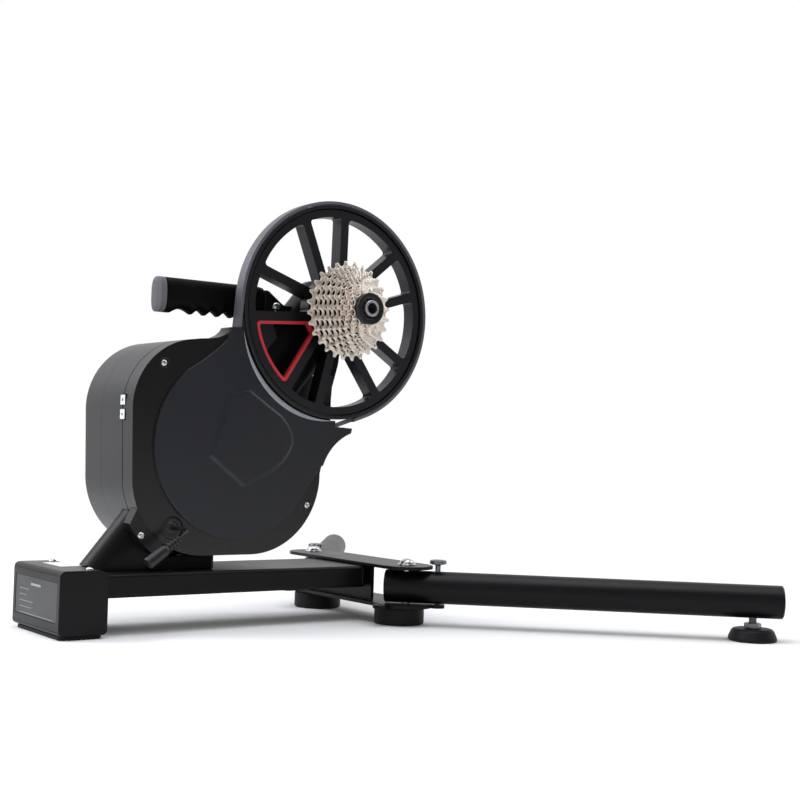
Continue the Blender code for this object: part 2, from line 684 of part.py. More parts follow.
def drive_cover(window_holes):
    """Front shell: raised field and neck, hollow about the wheel, belt slots, screw recesses."""
    low_floor = COVER_FRONT - (COVER_LOW_FRONT - CASE_WALL)
    bm = cup(cover_outline(), COVER_SEAM, COVER_FRONT, CASE_WALL, low_floor, 0)
    cover = add("drive_cover", bm, "shell_plastic", at=CASE_AT, turn=OUTBOARD)
    zone = plate([lowered_zone()], 8.0, COVER_LOW_FRONT)
    combine(cover, tool("cover_zone", zone, at=CASE_AT, turn=OUTBOARD), "DIFFERENCE")
    hollow = plate([field_pocket()], COVER_FRONT - COVER_LOW_FRONT + 3.2, COVER_LOW_FRONT - 5)
    combine(cover, tool("field_hollow", hollow, at=CASE_AT, turn=OUTBOARD), "DIFFERENCE")
    slot = plate([belt_loop(BELT_THICKNESS + 1.8), belt_loop(-1.5)], 12.0, 32.2)
    combine(cover, tool("belt_slot", slot, at=CASE_AT, turn=OUTBOARD), "DIFFERENCE")
    hole = round_tool("cord_hole", CORD_HOLE_RADIUS, CORD_HOLE, 30, 50, 20)
    combine(cover, hole, "DIFFERENCE")
    for name, centre in COVER_SCREWS.items():
        recess = round_tool(name + "_recess", 5.5, centre, COVER_LOW_FRONT - 1.8, 50, 12)
        combine(cover, recess, "DIFFERENCE")
    for hole in window_holes:
        combine(cover, hole, "DIFFERENCE")
    start, end = LIP_ANGLES
    hub = (0, HUB_Z)
    lip = arc(hub, WHEEL_CUTOUT + 2.0, start, end, 12) + arc(hub, LIP_RADIUS, end, start, 12)
    combine(cover, tool("cover_lip", plate([lip], COVER_FRONT - LIP_BACK, LIP_BACK), at=CASE_AT,
                        turn=OUTBOARD), "UNION")
    return cover


def middle_shell(window_holes):
    """Middle shell: a band open to both sides, closed only behind the wheel."""
    bm = cup(rear_outline(), SHELL_SEAM, COVER_SEAM - GAP, CASE_WALL, CASE_WALL, 0)
    shell = add("middle_shell", bm, "shell_plastic", at=CASE_AT, turn=OUTBOARD)
    opening = plate([shell_mouth(4.0)], 8.0, COVER_SEAM - 6)
    combine(shell, tool("shell_opening", opening, at=CASE_AT, turn=OUTBOARD), "DIFFERENCE")
    for hole in window_holes:
        combine(shell, hole, "DIFFERENCE")
    return shell


def casing():
    """All three shells with their screws and status windows."""
    holes = []
    thick, wide, tall = WINDOW_SIZE
    for name, z in WINDOWS.items():
        centre = (HUB_X + CASE_LEFT + 0.9, -COVER_SEAM, z)
        hole = box((8, wide + 2 * GAP, tall + 2 * GAP), centre)
        holes.append(tool(name + "_hole", hole))
        window = add(name, box(WINDOW_SIZE), "lens", at=centre)
        round_edges(window, 0.8, 2)
    cover = drive_cover(holes)
    shell = middle_shell(holes)
    bm = cup(rear_outline(), SHELL_SEAM - GAP, CASE_BACK, CASE_WALL, CASE_WALL, 6.0)
    add("far_cover", bm, "shell_plastic", at=CASE_AT, turn=OUTBOARD)
    passage = tool("tube_passage", tube_solid(TUBE_CLEARANCE), at=TUBE_AT, turn=TUBE_TURN)
    combine(cover, passage, "DIFFERENCE")
    combine(shell, passage, "DIFFERENCE")
    for name, (x, z) in COVER_SCREWS.items():
        low = COVER_LOW_FRONT - 1.8 + GAP
        screw_head(name, 3.9, 2.3, None, (HUB_X + x, -low, z), OUTBOARD)


# Pigtail: a short cord that comes out of a grommet and turns down to a plug

CORD_DIAMETER = 4.0
CORD_ROUTE = [(109.0, -43.3, 112.5), (109.0, -48.0, 112.5), (110.6, -54.0, 112.9),
              (113.0, -60.0, 112.9), (114.0, -65.5, 111.8), (112.0, -69.5, 109.4),
              (107.8, -70.8, 106.4), (104.0, -70.8, 103.7)]
CORD_SPACING = 4.5
PLUG_START = (103.75, -70.8, 103.52)
PLUG_DIRECTION = (-0.815, 0.0, -0.579)


def smooth_route(route, spacing):
    """Read evenly spaced points from a smooth curve through the route's points."""
    ends = [route[0]] + list(route) + [route[-1]]
    fine = []
    for i in range(len(route) - 1):
        before, start, end, after = ends[i:i + 4]
        for k in range(12):
            t = k / 12
            weights = (-t + 2 * t**2 - t**3, 2 - 5 * t**2 + 3 * t**3, t + 4 * t**2 - 3 * t**3,
                       t**3 - t**2)
            around = (before, start, end, after)
            fine.append([sum(w * p[axis] for w, p in zip(weights, around)) / 2 for axis in range(3)])
    fine.append(list(route[-1]))
    steps = [hypot(*(b - a for a, b in zip(p, q))) for p, q in zip(fine, fine[1:])]
    count = round(sum(steps) / spacing)
    points, walked, target = [fine[0]], 0.0, sum(steps) / count
    for point, step in zip(fine[1:-1], steps):
        walked += step
        if walked >= target * len(points) and len(points) < count:
            points.append(point)
    return points + [fine[-1]]


def power_cord():
    """Pigtail cord, its grommet in the cover and the ribbed plug on its end."""
    curve = bpy.data.curves.new("power_cord", "CURVE")
    curve.dimensions = "3D"
    curve.bevel_depth = UNIT * CORD_DIAMETER / 2
    curve.bevel_resolution = 2
    curve.use_fill_caps = True
    points = smooth_route(CORD_ROUTE, CORD_SPACING)
    spline = curve.splines.new("POLY")
    spline.points.add(len(points) - 1)
    for target, point in zip(spline.points, points):
        target.co = (*(UNIT * value for value in point), 1.0)
    cord = bpy.data.objects.new("power_cord", curve)
    bpy.context.collection.objects.link(cord)
    curve.materials.append(make_material("power_cord", "rubber"))
    x, z = CORD_HOLE
    grommet = [(0, 38.0), (CORD_HOLE_RADIUS - GAP, 38.0), (CORD_HOLE_RADIUS - GAP, 41.5),
               (8.0, 41.5), (5.5, 43.0), (0, 43.0)]
    add("cord_grommet", turned(grommet, 20), "rubber", at=(HUB_X + x, 0, z), turn=OUTBOARD)
    ribs = [(0, GAP), (3.4, GAP)]
    for k in range(4):
        low = 1.5 + 4.2 * k
        size = 4.2 + 0.4 * k
        ribs += [(size, low), (size, low + 2.4), (size - 0.9, low + 2.8), (size - 0.9, low + 3.9)]
    ribs += [(5.6, 19.5), (6.5, 22.0), (6.5, 45.0), (5.6, 46.0), (4.2, 46.0), (4.2, 37.0), (0, 37.0)]
    plug = add("power_plug", turned(ribs, 12), "rubber", at=PLUG_START)
    dx, dy, dz = PLUG_DIRECTION
    plug.rotation_euler = (0, acos(dz), atan2(dy, dx))


# Drive: wheel, belt, axle and bearings

WHEEL_AT = (HUB_X, 0, HUB_Z)
SHAFT_AT = (HUB_X + FLYWHEEL_X, 0, FLYWHEEL_Z)
BEARING_OUTER = 12.9
HUB_BORE = 21.0


def on_edge(direction, offset, radius):
    """Give the point of a spoke's edge line at a radius from the hub."""
    turn = radians(direction)
    along = sqrt(radius**2 - offset**2)
    x = along * cos(turn) - offset * sin(turn)
    z = along * sin(turn) + offset * cos(turn)
    return x, z


def window_loop(first, last, shrink, corner):
    """Give one window between two spoke edges, each a direction and a side offset."""
    outer, inner = WINDOW_OUTER - shrink, WINDOW_INNER + shrink
    edges = [(direction, offset + side * shrink) for (direction, offset), side
             in ((first, 1), (last, -1))]
    ends = [[on_edge(*edge, radius) for radius in (inner, outer)] for edge in edges]
    turns = [[degrees(atan2(z, x)) for x, z in pair] for pair in ends]
    wide = (turns[1][1] - turns[0][1]) % 360
    narrow = (turns[1][0] - turns[0][0]) % 360
    outside = arc((0, 0), outer, turns[0][1], turns[0][1] + wide, round(wide / 8))
    inside = arc((0, 0), inner, turns[1][0], turns[1][0] - narrow, 2)
    loop = [(*ends[0][0], corner), (*ends[0][1], corner)] + outside[1:-1]
    loop += [(*ends[1][1], corner), (*ends[1][0], corner)] + inside[1:-1]
    return rounded(loop, 1)


def wide_window(index, shrink=0.0, corner=4.0):
    """Give the window between one pair of spokes and the next."""
    near = FIRST_PAIR + index * 360 / SPOKE_PAIRS
    far = near + 360 / SPOKE_PAIRS - SPOKE_SPLAY
    if index == TRIM_WINDOW:
        far += TRIM_SPOKE_TURN
    offset = SPOKE_OFFSET + SPOKE_WIDTH / 2
    return window_loop((near + SPOKE_SPLAY, offset), (far, -offset), shrink, corner)


def narrow_window(index, corner=3.0):
    """Give the window inside one pair of spokes."""
    middle = FIRST_PAIR + index * 360 / SPOKE_PAIRS
    first = middle - SPOKE_SPLAY
    if index == TRIM_WINDOW + 1:
        first += TRIM_SPOKE_TURN
    offset = SPOKE_WIDTH / 2 - SPOKE_OFFSET
    return window_loop((first, offset), (middle + SPOKE_SPLAY, -offset), 0.0, corner)


def pulley_wheel(carrier):
    """Spoked wheel with a raised rim that carries the belt, and its red window trim."""
    windows = [wide_window(k) for k in range(SPOKE_PAIRS)]
    windows += [narrow_window(k) for k in range(SPOKE_PAIRS)]
    disc = plate([circle(121.5, 52), circle(HUB_BORE, 20)] + windows,
                 SPOKE_FRONT - SPOKE_BACK, SPOKE_BACK)
    wheel = add("pulley_wheel", disc, "wheel_paint", carrier, turn=OUTBOARD)
    rim = [(119.5, WHEEL_BACK), (TRACK_RADIUS, WHEEL_BACK), (TRACK_RADIUS, WHEEL_FRONT - 1.0),
           (TRACK_RADIUS - 1.0, WHEEL_FRONT), (123.0, WHEEL_FRONT), (122.3, 45.5), (119.5, 45.5)]
    combine(wheel, tool("wheel_rim", turned(rim, 52), carrier, turn=OUTBOARD), "UNION")
    boss_front = SPOKE_FRONT + 3.0
    boss = [(HUB_BORE + 0.5, 40.0), (35.0, 40.0), (35.0, boss_front), (HUB_BORE + 0.5, boss_front)]
    combine(wheel, tool("wheel_boss", turned(boss, 20), carrier, turn=OUTBOARD), "UNION")
    trim = plate([wide_window(TRIM_WINDOW, GAP), wide_window(TRIM_WINDOW, GAP + TRIM_WIDTH, 2.5)],
                 6.0, 42.6)
    add("window_trim", trim, "red_plastic", carrier, turn=OUTBOARD)


def drive_belt():
    """Flat belt round the wheel and the small pulley, narrower where it runs in the casing."""
    loops = [belt_loop(GAP + BELT_THICKNESS), belt_loop(GAP)]
    belt = add("drive_belt", plate(loops, BELT_FRONT - WHEEL_BACK, WHEEL_BACK), "belt",
               at=CASE_AT, turn=OUTBOARD)
    x, z = BELT_ENTRY
    inside = plate([[(-300, 0), (x, 0), (x, z), (-300, z)]], 10.0, TRACK_FRONT - 0.6)
    combine(belt, tool("belt_inside", inside, at=CASE_AT, turn=OUTBOARD), "DIFFERENCE")


def axle_parts():
    """Hollow axle, its drive-side end ring and the wheel's bearing."""
    end_length = 15.0
    shoulder = 35.7
    end_base = AXLE_DRIVE_FACE - end_length
    axle = [(AXLE_BORE, AXLE_FAR_FACE), (AXLE_THICK, AXLE_FAR_FACE), (AXLE_THICK, shoulder),
            (AXLE_SLIM, shoulder), (AXLE_SLIM, end_base - GAP), (AXLE_BORE, end_base - GAP)]
    add("axle", turned(axle, 24), "steel", at=WHEEL_AT, turn=OUTBOARD)
    ring = 9.75
    end = [(AXLE_BORE, end_base), (AXLE_SLIM, end_base), (AXLE_SLIM, 111.0), (ring, 111.0),
           (ring, AXLE_DRIVE_FACE - 0.8), (ring - 0.8, AXLE_DRIVE_FACE),
           (AXLE_BORE, AXLE_DRIVE_FACE)]
    add("axle_end_drive", turned(end, 24), "aluminium", at=WHEEL_AT, turn=OUTBOARD)
    bearing = [(AXLE_SLIM + GAP, 37.0), (HUB_BORE - GAP, 37.0), (HUB_BORE - GAP, 49.0),
               (AXLE_SLIM + GAP, 49.0)]
    add("wheel_bearing", turned(bearing, 24), "steel", at=WHEEL_AT, turn=OUTBOARD)


# Cassette

def tooth_outline(teeth):
    """Give a sprocket's outline: a valley and a cut-off tip for each tooth."""
    pitch_radius = CHAIN_PITCH / (2 * sin(pi / teeth))
    tip, root = pitch_radius + 2.54, pitch_radius - 3.97
    step = 360 / teeth
    points = []
    for k in range(teeth):
        for place_in_step, radius in ((0.0, root), (0.40, tip), (0.60, tip)):
            turn = radians(step * (k + place_in_step))
            points.append((radius * cos(turn), radius * sin(turn)))
    return points


def fill_between(bm, outer, inner, height):
    """Fill the flat ring between two loops."""
    edges = draw_loop(bm, outer, height) + draw_loop(bm, inner, height)
    bmesh.ops.triangle_fill(bm, use_beauty=True, use_dissolve=False, edges=edges)


def wall(bm, points, low, high):
    """Raise a wall over a closed loop."""
    count = len(points)
    lower = [bm.verts.new((x, y, low)) for x, y in points]
    upper = [bm.verts.new((x, y, high)) for x, y in points]
    for i in range(count):
        j = (i + 1) % count
        bm.faces.new((lower[i], lower[j], upper[j], upper[i]))


def sprocket_stack(name, first, last, spacer_radius, back, carrier):
    """Make neighbouring sprockets and the spacers between them as one turned stack."""
    bm = bmesh.new()
    bore = circle(FREEHUB_RADIUS + GAP, 20)
    spacer = circle(spacer_radius, 16)
    fronts = [LARGEST_FRONT + SPROCKET_PITCH * k for k in range(first, last + 1)]
    fill_between(bm, spacer, bore, back)
    wall(bm, bore, back, fronts[-1])
    below = back
    for k, front in enumerate(fronts):
        teeth = tooth_outline(TEETH[first + k])
        behind = front - SPROCKET_THICKNESS
        wall(bm, spacer, below, behind)
        fill_between(bm, teeth, spacer, behind)
        wall(bm, teeth, behind, front)
        fill_between(bm, teeth, spacer if front != fronts[-1] else bore, front)
        below = front
    add(name, bm, "nickel", carrier, turn=OUTBOARD)


def cassette(carrier):
    """Freehub body, eleven sprockets in three stacks and the lockring."""
    bore = AXLE_SLIM + 0.5
    base_front = 68.0
    freehub_front = 109.6
    body = [(bore, 51.7), (24.0, 51.7), (24.0, base_front - 1), (23.0, base_front),
            (FREEHUB_RADIUS, base_front), (FREEHUB_RADIUS, freehub_front), (bore, freehub_front)]
    add("freehub_body", turned(body, 20), "black_metal", carrier, turn=OUTBOARD)
    stacks = (("sprockets_large", 0, 3, 24.0), ("sprockets_middle", 4, 6, 21.5),
              ("sprockets_small", 7, 10, 18.3))
    back = base_front + GAP
    for name, first, last, spacer in stacks:
        sprocket_stack(name, first, last, spacer, back, carrier)
        back = LARGEST_FRONT + SPROCKET_PITCH * last + GAP
    ring = [(10.2, back + 0.1), (FREEHUB_RADIUS, back + 0.1), (17.8, back + 1.0), (17.8, 116.0),
            (16.8, 117.0), (10.2, 117.0)]
    add("lockring", turned(ring, 24), "black_metal", carrier, turn=OUTBOARD)


# Inside the casing

def flywheel_parts(carrier):
    """Flywheel with a heavy rim, its shaft with the small pulley, and the shaft's sleeve."""
    rim_in, hub_out, bore = 70.0, 20.0, SHAFT_RADIUS + GAP
    back, front = -56.0, -18.0
    web_back, web_front = -42.0, -32.0
    profile = [(bore, back), (hub_out, back), (hub_out, web_back), (rim_in, web_back),
               (rim_in, back), (FLYWHEEL_RADIUS, back), (FLYWHEEL_RADIUS, front), (rim_in, front),
               (rim_in, web_front), (hub_out, web_front), (hub_out, front), (bore, front)]
    add("flywheel", turned(profile, 28), "cast_iron", carrier, turn=OUTBOARD)
    small = TRACK_RADIUS / BELT_RATIO
    shaft = [(0, -64.0), (SHAFT_RADIUS, -64.0), (SHAFT_RADIUS, WHEEL_BACK - 0.2),
             (small, WHEEL_BACK - 0.2), (small, TRACK_FRONT - 0.5), (0, TRACK_FRONT - 0.5)]
    add("flywheel_shaft", turned(shaft, 20), "steel", carrier, turn=OUTBOARD)
    sleeve = [(bore + 0.1, -13.5), (BEARING_OUTER, -13.5), (BEARING_OUTER, 33.2), (bore + 0.1, 33.2)]
    add("shaft_bearing", turned(sleeve, 20), "steel", at=SHAFT_AT, turn=OUTBOARD)


def brake_and_board():
    """Magnet brake beside the flywheel's rim, and the control board behind the windows."""
    inner, outer = FLYWHEEL_RADIUS + 3, FLYWHEEL_RADIUS + 20
    centre = (FLYWHEEL_X, FLYWHEEL_Z)
    sector = arc(centre, inner, 190, 250, 10) + arc(centre, outer, 250, 190, 10)
    add("magnet_brake", plate([sector], 32, -53), "cast_iron", at=CASE_AT, turn=OUTBOARD)
    board = box((1.6, 44, 56))
    side = max(board.faces, key=lambda face: face.calc_center_median().x)
    inset_face(board, side, 12.0)
    inset_face(board, side, 0.5, 8.0)
    add("control_board", board, "circuit_board", at=(62.5, 12.0, 228.0))


# Hinge and legs

def lock_ears(plate_low):
    """Give the ears' solids on a hinge plate, one for each leg unfolded and folded back."""
    ears = []
    for y, turns in ((-PIVOT_Y, (LEG_RIGHT_ANGLE, pi)), (PIVOT_Y, (LEG_LEFT_ANGLE, pi))):
        for turn in turns:
            centre = (PIVOT_X + PIN_REACH * cos(turn), y + PIN_REACH * sin(turn))
            loops = [circle(EAR_RADIUS, 16, centre), circle(PIN_RADIUS + GAP, 12, centre)]
            ears.append(tool("lock_ear", plate(loops, PLATE_THICKNESS, plate_low)))
    return ears


def hinge():
    """Two plates over the pivots, the web between them, pads under them and pivot bolts."""
    side = PLATE_RADIUS
    outline = arc((PIVOT_X, PIVOT_Y), side, 0, 180, 14) + arc((PIVOT_X, -PIVOT_Y), side, 180, 360, 14)
    holes = [circle(BOLT_RADIUS + GAP, 16, (PIVOT_X, y)) for y in (-PIVOT_Y, PIVOT_Y)]
    add("hinge_top_plate", plate([outline] + holes, PLATE_THICKNESS, TOP_PLATE), "black_paint")
    bottom = add("hinge_bottom_plate", plate([outline] + holes, PLATE_THICKNESS, BOTTOM_PLATE),
                 "black_paint")
    for ear in lock_ears(BOTTOM_PLATE):
        combine(bottom, ear, "UNION")
    low, high = BOTTOM_PLATE + PLATE_THICKNESS + GAP, TOP_PLATE - GAP
    web_left, web_right = 366.0, 370.0
    add("hinge_web", box((web_right - web_left, 120, high - low),
                         ((web_left + web_right) / 2, 0, (high + low) / 2)), "black_paint")
    top = TOP_PLATE + PLATE_THICKNESS + GAP
    bolt = [(0, BOTTOM_PLATE + GAP), (BOLT_RADIUS, BOTTOM_PLATE + GAP), (BOLT_RADIUS, top),
            (11.0, top), (11.0, top + 1.5), (8.7, top + 1.5), (8.4, top + 3.2), (6.6, top + 5.3),
            (3.6, top + 6.6), (0, top + 7.0)]
    pad = [(0, 0), (28.0, 0), (29.5, 1.5), (29.5, 18.5), (27.5, 20.5), (0, 20.5)]
    pad_y = 88.0
    for name, sign in (("right", -1), ("left", 1)):
        add("pivot_bolt_" + name, turned(bolt, 14), "steel", at=(PIVOT_X, sign * PIVOT_Y, 0))
        add("hinge_pad_" + name, turned(pad, 20), "rubber", at=(PIVOT_X, sign * pad_y, 0))


def leg_tube(name, carrier):
    """Round leg: closed inner end, open outer end, bored for bolt, lock pin and foot screw."""
    inner = LEG_RADIUS - LEG_WALL
    profile = [(0, -LEG_INNER), (LEG_RADIUS, -LEG_INNER), (LEG_RADIUS, LEG_LENGTH),
               (inner, LEG_LENGTH), (inner, LEG_WALL - LEG_INNER), (0, LEG_WALL - LEG_INNER)]
    leg = add(name, turned(profile, 20), "black_paint", carrier, (0, 0, LEG_HEIGHT), ALONG_X)
    for label, reach, radius, low in (("bolt", 0.0, BOLT_RADIUS + GAP, 10.0),
                                      ("pin", PIN_REACH, PIN_RADIUS + GAP, 10.0),
                                      ("foot", FOOT_REACH, FOOT_STUD + 0.4, -50.0)):
        high = 80.0 if label != "foot" else LEG_HEIGHT
        hole = turned([(0, low), (radius, low), (radius, high), (0, high)], 12)
        combine(leg, tool(name + "_" + label + "_hole", hole, carrier, (reach, 0, 0)), "DIFFERENCE")


FOOT_STUD = 4.7
NUT_LOW = 14.3
NUT_HIGH = 20.3
NUT_RADIUS = 9.8


def foot_screw(name, carrier):
    """Threaded stud with a hexagon nut, its lower end seated in the puck."""
    def ring(radius, height, hexagon=False):
        points = []
        for k in range(12):
            reach = radius * cos(pi / 6) if hexagon and k % 2 else radius
            points.append((reach * cos(pi * k / 6), reach * sin(pi * k / 6), height))
        return points
    rings = [ring(FOOT_STUD, 6.3), ring(FOOT_STUD, NUT_LOW), ring(NUT_RADIUS, NUT_LOW, True),
             ring(NUT_RADIUS, NUT_HIGH, True), ring(FOOT_STUD, NUT_HIGH), ring(FOOT_STUD, 56.0)]
    add(name, loft(rings), "steel", carrier, (FOOT_REACH, 0, 0))


def leg(side, sign, angle):
    """One folding leg on its pivot with cap, levelling foot and lock pin."""
    carrier = pivot("leg_pivot_" + side, (PIVOT_X, sign * PIVOT_Y, 0), (0, 0, angle))
    leg_tube("leg_" + side, carrier)
    plug = LEG_RADIUS - LEG_WALL - GAP
    cap = [(0, -10), (plug, -10), (plug, GAP), (LEG_RADIUS, GAP), (LEG_RADIUS, 2.0), (17.0, 3.4),
           (10.0, 4.4), (0, 4.8)]
    add("leg_cap_" + side, turned(cap, 20), "black_plastic", carrier,
        (LEG_LENGTH, 0, LEG_HEIGHT), ALONG_X)
    foot_screw("foot_screw_" + side, carrier)
    seat = FOOT_STUD + 0.5
    puck = [(0, 0), (26.0, 0), (27.5, 2.0), (27.0, 5.0), (23.5, 12.0), (21.5, 14.0), (seat, 14.0),
            (seat, 6.0), (0, 6.0)]
    add("foot_puck_" + side, turned(puck, 20), "rubber", carrier, (FOOT_REACH, 0, 0))
    pin_low = BOTTOM_PLATE + PLATE_THICKNESS + GAP
    wing = 10.0
    pin = [(0, pin_low), (PIN_RADIUS - 0.8, pin_low), (PIN_RADIUS, pin_low + 1), (PIN_RADIUS, 71.0),
           (wing - 1.5, 72.0), (wing, 73.5), (wing, 75.5), (wing - 1.5, 77.0), (0, 77.0)]
    add("lock_pin_" + side, turned(pin, 12), "steel", carrier, (PIN_REACH, 0, 0))


def build():
    """Build the whole trainer."""
    for obj in list(bpy.data.objects):
        bpy.data.objects.remove(obj, do_unlink=True)
    base_beam()
    rear_foot()
    main_tube()
    saddle_and_support()
    hub_brace()
    handle()
    casing()
    power_cord()
    pulley = pivot("pulley_axis", WHEEL_AT)
    pulley_wheel(pulley)
    cassette(pulley)
    drive_belt()
    axle_parts()
    rotor = pivot("rotor_axis", SHAFT_AT)
    flywheel_parts(rotor)
    brake_and_board()
    hinge()
    leg("right", -1, LEG_RIGHT_ANGLE)
    leg("left", 1, LEG_LEFT_ANGLE)


build()
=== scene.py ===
"""Looks of a direct-drive bike trainer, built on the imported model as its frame.

Sizes are millimetres in the frame's axes: +X is the way the bike faces, +Z is up and -Y is the
drive side. Each sub-assembly is a class, and main() builds them in order.
"""

import logging
from collections.abc import Callable, Sequence
from dataclasses import dataclass, field
from enum import Enum
from math import acos, asin, atan2, cos, degrees, hypot, pi, radians, sin, sqrt

import bmesh
import bpy
from mathutils import Euler, Matrix, Vector


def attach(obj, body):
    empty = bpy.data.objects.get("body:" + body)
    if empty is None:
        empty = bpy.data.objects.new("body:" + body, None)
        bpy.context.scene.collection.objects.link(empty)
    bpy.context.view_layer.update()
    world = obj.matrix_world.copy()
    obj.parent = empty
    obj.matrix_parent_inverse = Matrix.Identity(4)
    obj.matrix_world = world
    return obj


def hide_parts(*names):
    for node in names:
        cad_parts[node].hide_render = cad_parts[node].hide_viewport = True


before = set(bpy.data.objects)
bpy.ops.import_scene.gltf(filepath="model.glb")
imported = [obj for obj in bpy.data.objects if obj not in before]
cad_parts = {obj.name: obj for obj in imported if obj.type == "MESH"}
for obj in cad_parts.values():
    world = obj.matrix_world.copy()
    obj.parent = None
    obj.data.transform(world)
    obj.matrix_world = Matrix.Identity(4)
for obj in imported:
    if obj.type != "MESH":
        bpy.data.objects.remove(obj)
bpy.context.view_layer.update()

MM = 0.001
GAP = 0.3
LOG = logging.getLogger("bike_trainer")

# Places as (X, Z): the axle, the flywheel's shaft, and from the hub the casing's lower rear corner.
HUB = (313.0, 366.0)
SHAFT = (188.0, 205.0)
CASE_CORNER = (-166.5, 169.5)
CASE_CORNER_RADIUS = 88.0

Pair = tuple[float, float]
Point = tuple[float, float]
Colour = tuple[int, int, int]
Triple = tuple[float, float, float]
Outline = list[Point]
Mesh = bmesh.types.BMesh


class Facing(Enum):
    """Which way a piece's own +Z runs."""

    UP = (0.0, 0.0, 0.0)
    OUTBOARD = (pi / 2, 0.0, 0.0)
    FORWARD = (0.0, pi / 2, 0.0)


class Side(Enum):
    """The two folding legs: a name, the sign of Y and the angle from straight ahead."""

    RIGHT = ("right", -1, radians(-43.6))
    LEFT = ("left", 1, radians(52.4))


# Outlines

def arc(centre: Point, radius: float, start: float, end: float, steps: int) -> Outline:
    """Give points along an arc.

    Args:
        centre: The arc's centre.
        radius: Its radius.
        start: First angle in degrees.
        end: Last angle in degrees.
        steps: How many spans it has.

    Returns:
        The points, one more than the steps.
    """
    turns = [radians(start + (end - start) * i / steps) for i in range(steps + 1)]
    return [(centre[0] + radius * cos(t), centre[1] + radius * sin(t)) for t in turns]


def circle(radius: float, steps: int, centre: Point = (0.0, 0.0)) -> Outline:
    """Give a circle's points."""
    return arc(centre, radius, 0, 360, steps)[:-1]


def hexagon(across: float) -> Outline:
    """Give a hexagon by its width across flats."""
    return circle(across / 2 / cos(pi / 6), 6)


def rounded(corners: Sequence[tuple[float, ...]], steps: int = 6) -> Outline:
    """Round the corners of an outline that state a radius.

    Args:
        corners: Points, some with a radius as a third value.
        steps: Spans in each round corner.

    Returns:
        The outline's points.
    """
    outline: Outline = []
    for i, corner in enumerate(corners):
        if len(corner) < 3:
            outline.append((corner[0], corner[1]))
            continue
        x, y, radius = corner
        before, after = corners[i - 1], corners[(i + 1) % len(corners)]
        into = atan2(before[1] - y, before[0] - x)
        out = atan2(after[1] - y, after[0] - x)
        spread = (out - into + pi) % (2 * pi) - pi
        middle = into + spread / 2
        reach = radius / sin(abs(spread) / 2)
        centre = (x + reach * cos(middle), y + reach * sin(middle))
        sweep = degrees((pi - abs(spread)) * (1 if spread < 0 else -1))
        first = degrees(middle) + 180 - sweep / 2
        outline += arc(centre, radius, first, first + sweep, steps)
    return outline


def rectangle(width: float, height: float, radius: float, steps: int = 6) -> Outline:
    """Give a rectangle with round corners about the origin."""
    w, h = width / 2, height / 2
    return rounded([(-w, -h, radius), (w, -h, radius), (w, h, radius), (-w, h, radius)], steps)


def smooth_line(route: Sequence[Triple], per_span: int) -> list[Vector]:
    """Read points from a smooth curve that runs through a route's points.

    Args:
        route: The points that it passes.
        per_span: Points read in each span.

    Returns:
        The curve's points.
    """
    ends = [route[0], *route, route[-1]]
    line = []
    for i in range(len(route) - 1):
        before, start, end, after = (Vector(p) for p in ends[i:i + 4])
        for k in range(per_span):
            t = k / per_span
            line.append(0.5 * ((-t + 2 * t**2 - t**3) * before + (2 - 5 * t**2 + 3 * t**3) * start
                               + (t + 4 * t**2 - 3 * t**3) * end + (t**3 - t**2) * after))
    return line + [Vector(route[-1])]


# Solids

def draw_loop(bm: Mesh, points: Outline, height: float) -> list[bmesh.types.BMEdge]:
    """Add a closed loop of edges at a height.

    Args:
        bm: The mesh that gets it.
        points: The loop's points.
        height: Its height.

    Returns:
        The new edges.
    """
    verts = [bm.verts.new((x, y, height)) for x, y in points]
    return [bm.edges.new(pair) for pair in zip(verts, verts[1:] + verts[:1])]


def plate(loops: Sequence[Outline], low: float, high: float) -> Mesh:
    """Fill the first loop, less the other loops, and make it thick.

    Args:
        loops: The outline and its holes.
        low: Height of the underside.
        high: Height of the top.

    Returns:
        The plate's mesh.
    """
    bm = bmesh.new()
    edges = [edge for loop in loops for edge in draw_loop(bm, loop, low)]
    bmesh.ops.triangle_fill(bm, use_beauty=True, use_dissolve=len(loops) == 1, edges=edges)
    grown = bmesh.ops.extrude_face_region(bm, geom=bm.faces[:])
    top = [item for item in grown["geom"] if isinstance(item, bmesh.types.BMVert)]
    bmesh.ops.translate(bm, verts=top, vec=(0, 0, high - low))
    return bm


def turned(profile: Sequence[Point], segments: int = 96) -> Mesh:
    """Spin a profile of (radius, height) points about Z.

    Args:
        profile: The points, which start and end on the axis or else form a closed ring.
        segments: Facets around.

    Returns:
        The turned mesh.
    """
    bm = bmesh.new()
    verts = [bm.verts.new((radius, 0, height)) for radius, height in profile]
    pairs = list(zip(verts, verts[1:]))
    if profile[0][0] > 0 or profile[-1][0] > 0:
        pairs.append((verts[-1], verts[0]))
    edges = [bm.edges.new(pair) for pair in pairs]
    bmesh.ops.spin(bm, geom=verts + edges, cent=(0, 0, 0), axis=(0, 0, 1), angle=2 * pi,
                   steps=segments, use_merge=True, use_duplicate=False)
    return bm


def loft(rings: Sequence[Sequence[Triple]]) -> Mesh:
    """Skin rings that have equal counts, and close both ends.

    Args:
        rings: The rings in order.

    Returns:
        The closed mesh.
    """
    bm = bmesh.new()
    loops = [[bm.verts.new(point) for point in ring] for ring in rings]
    for low, high in zip(loops, loops[1:]):
        for i in range(len(low)):
            j = (i + 1) % len(low)
            bm.faces.new((low[i], low[j], high[j], high[i]))
    bm.faces.new(loops[0])
    bm.faces.new(loops[-1])
    return bm


def inset_face(bm: Mesh, face: bmesh.types.BMFace, thickness: float, depth: float = 0.0) -> None:
    """Inset one flat face evenly, and raise its inner part by a depth."""
    bm.normal_update()
    bmesh.ops.inset_region(bm, faces=[face], thickness=thickness, depth=depth,
                           use_even_offset=True, use_boundary=True)


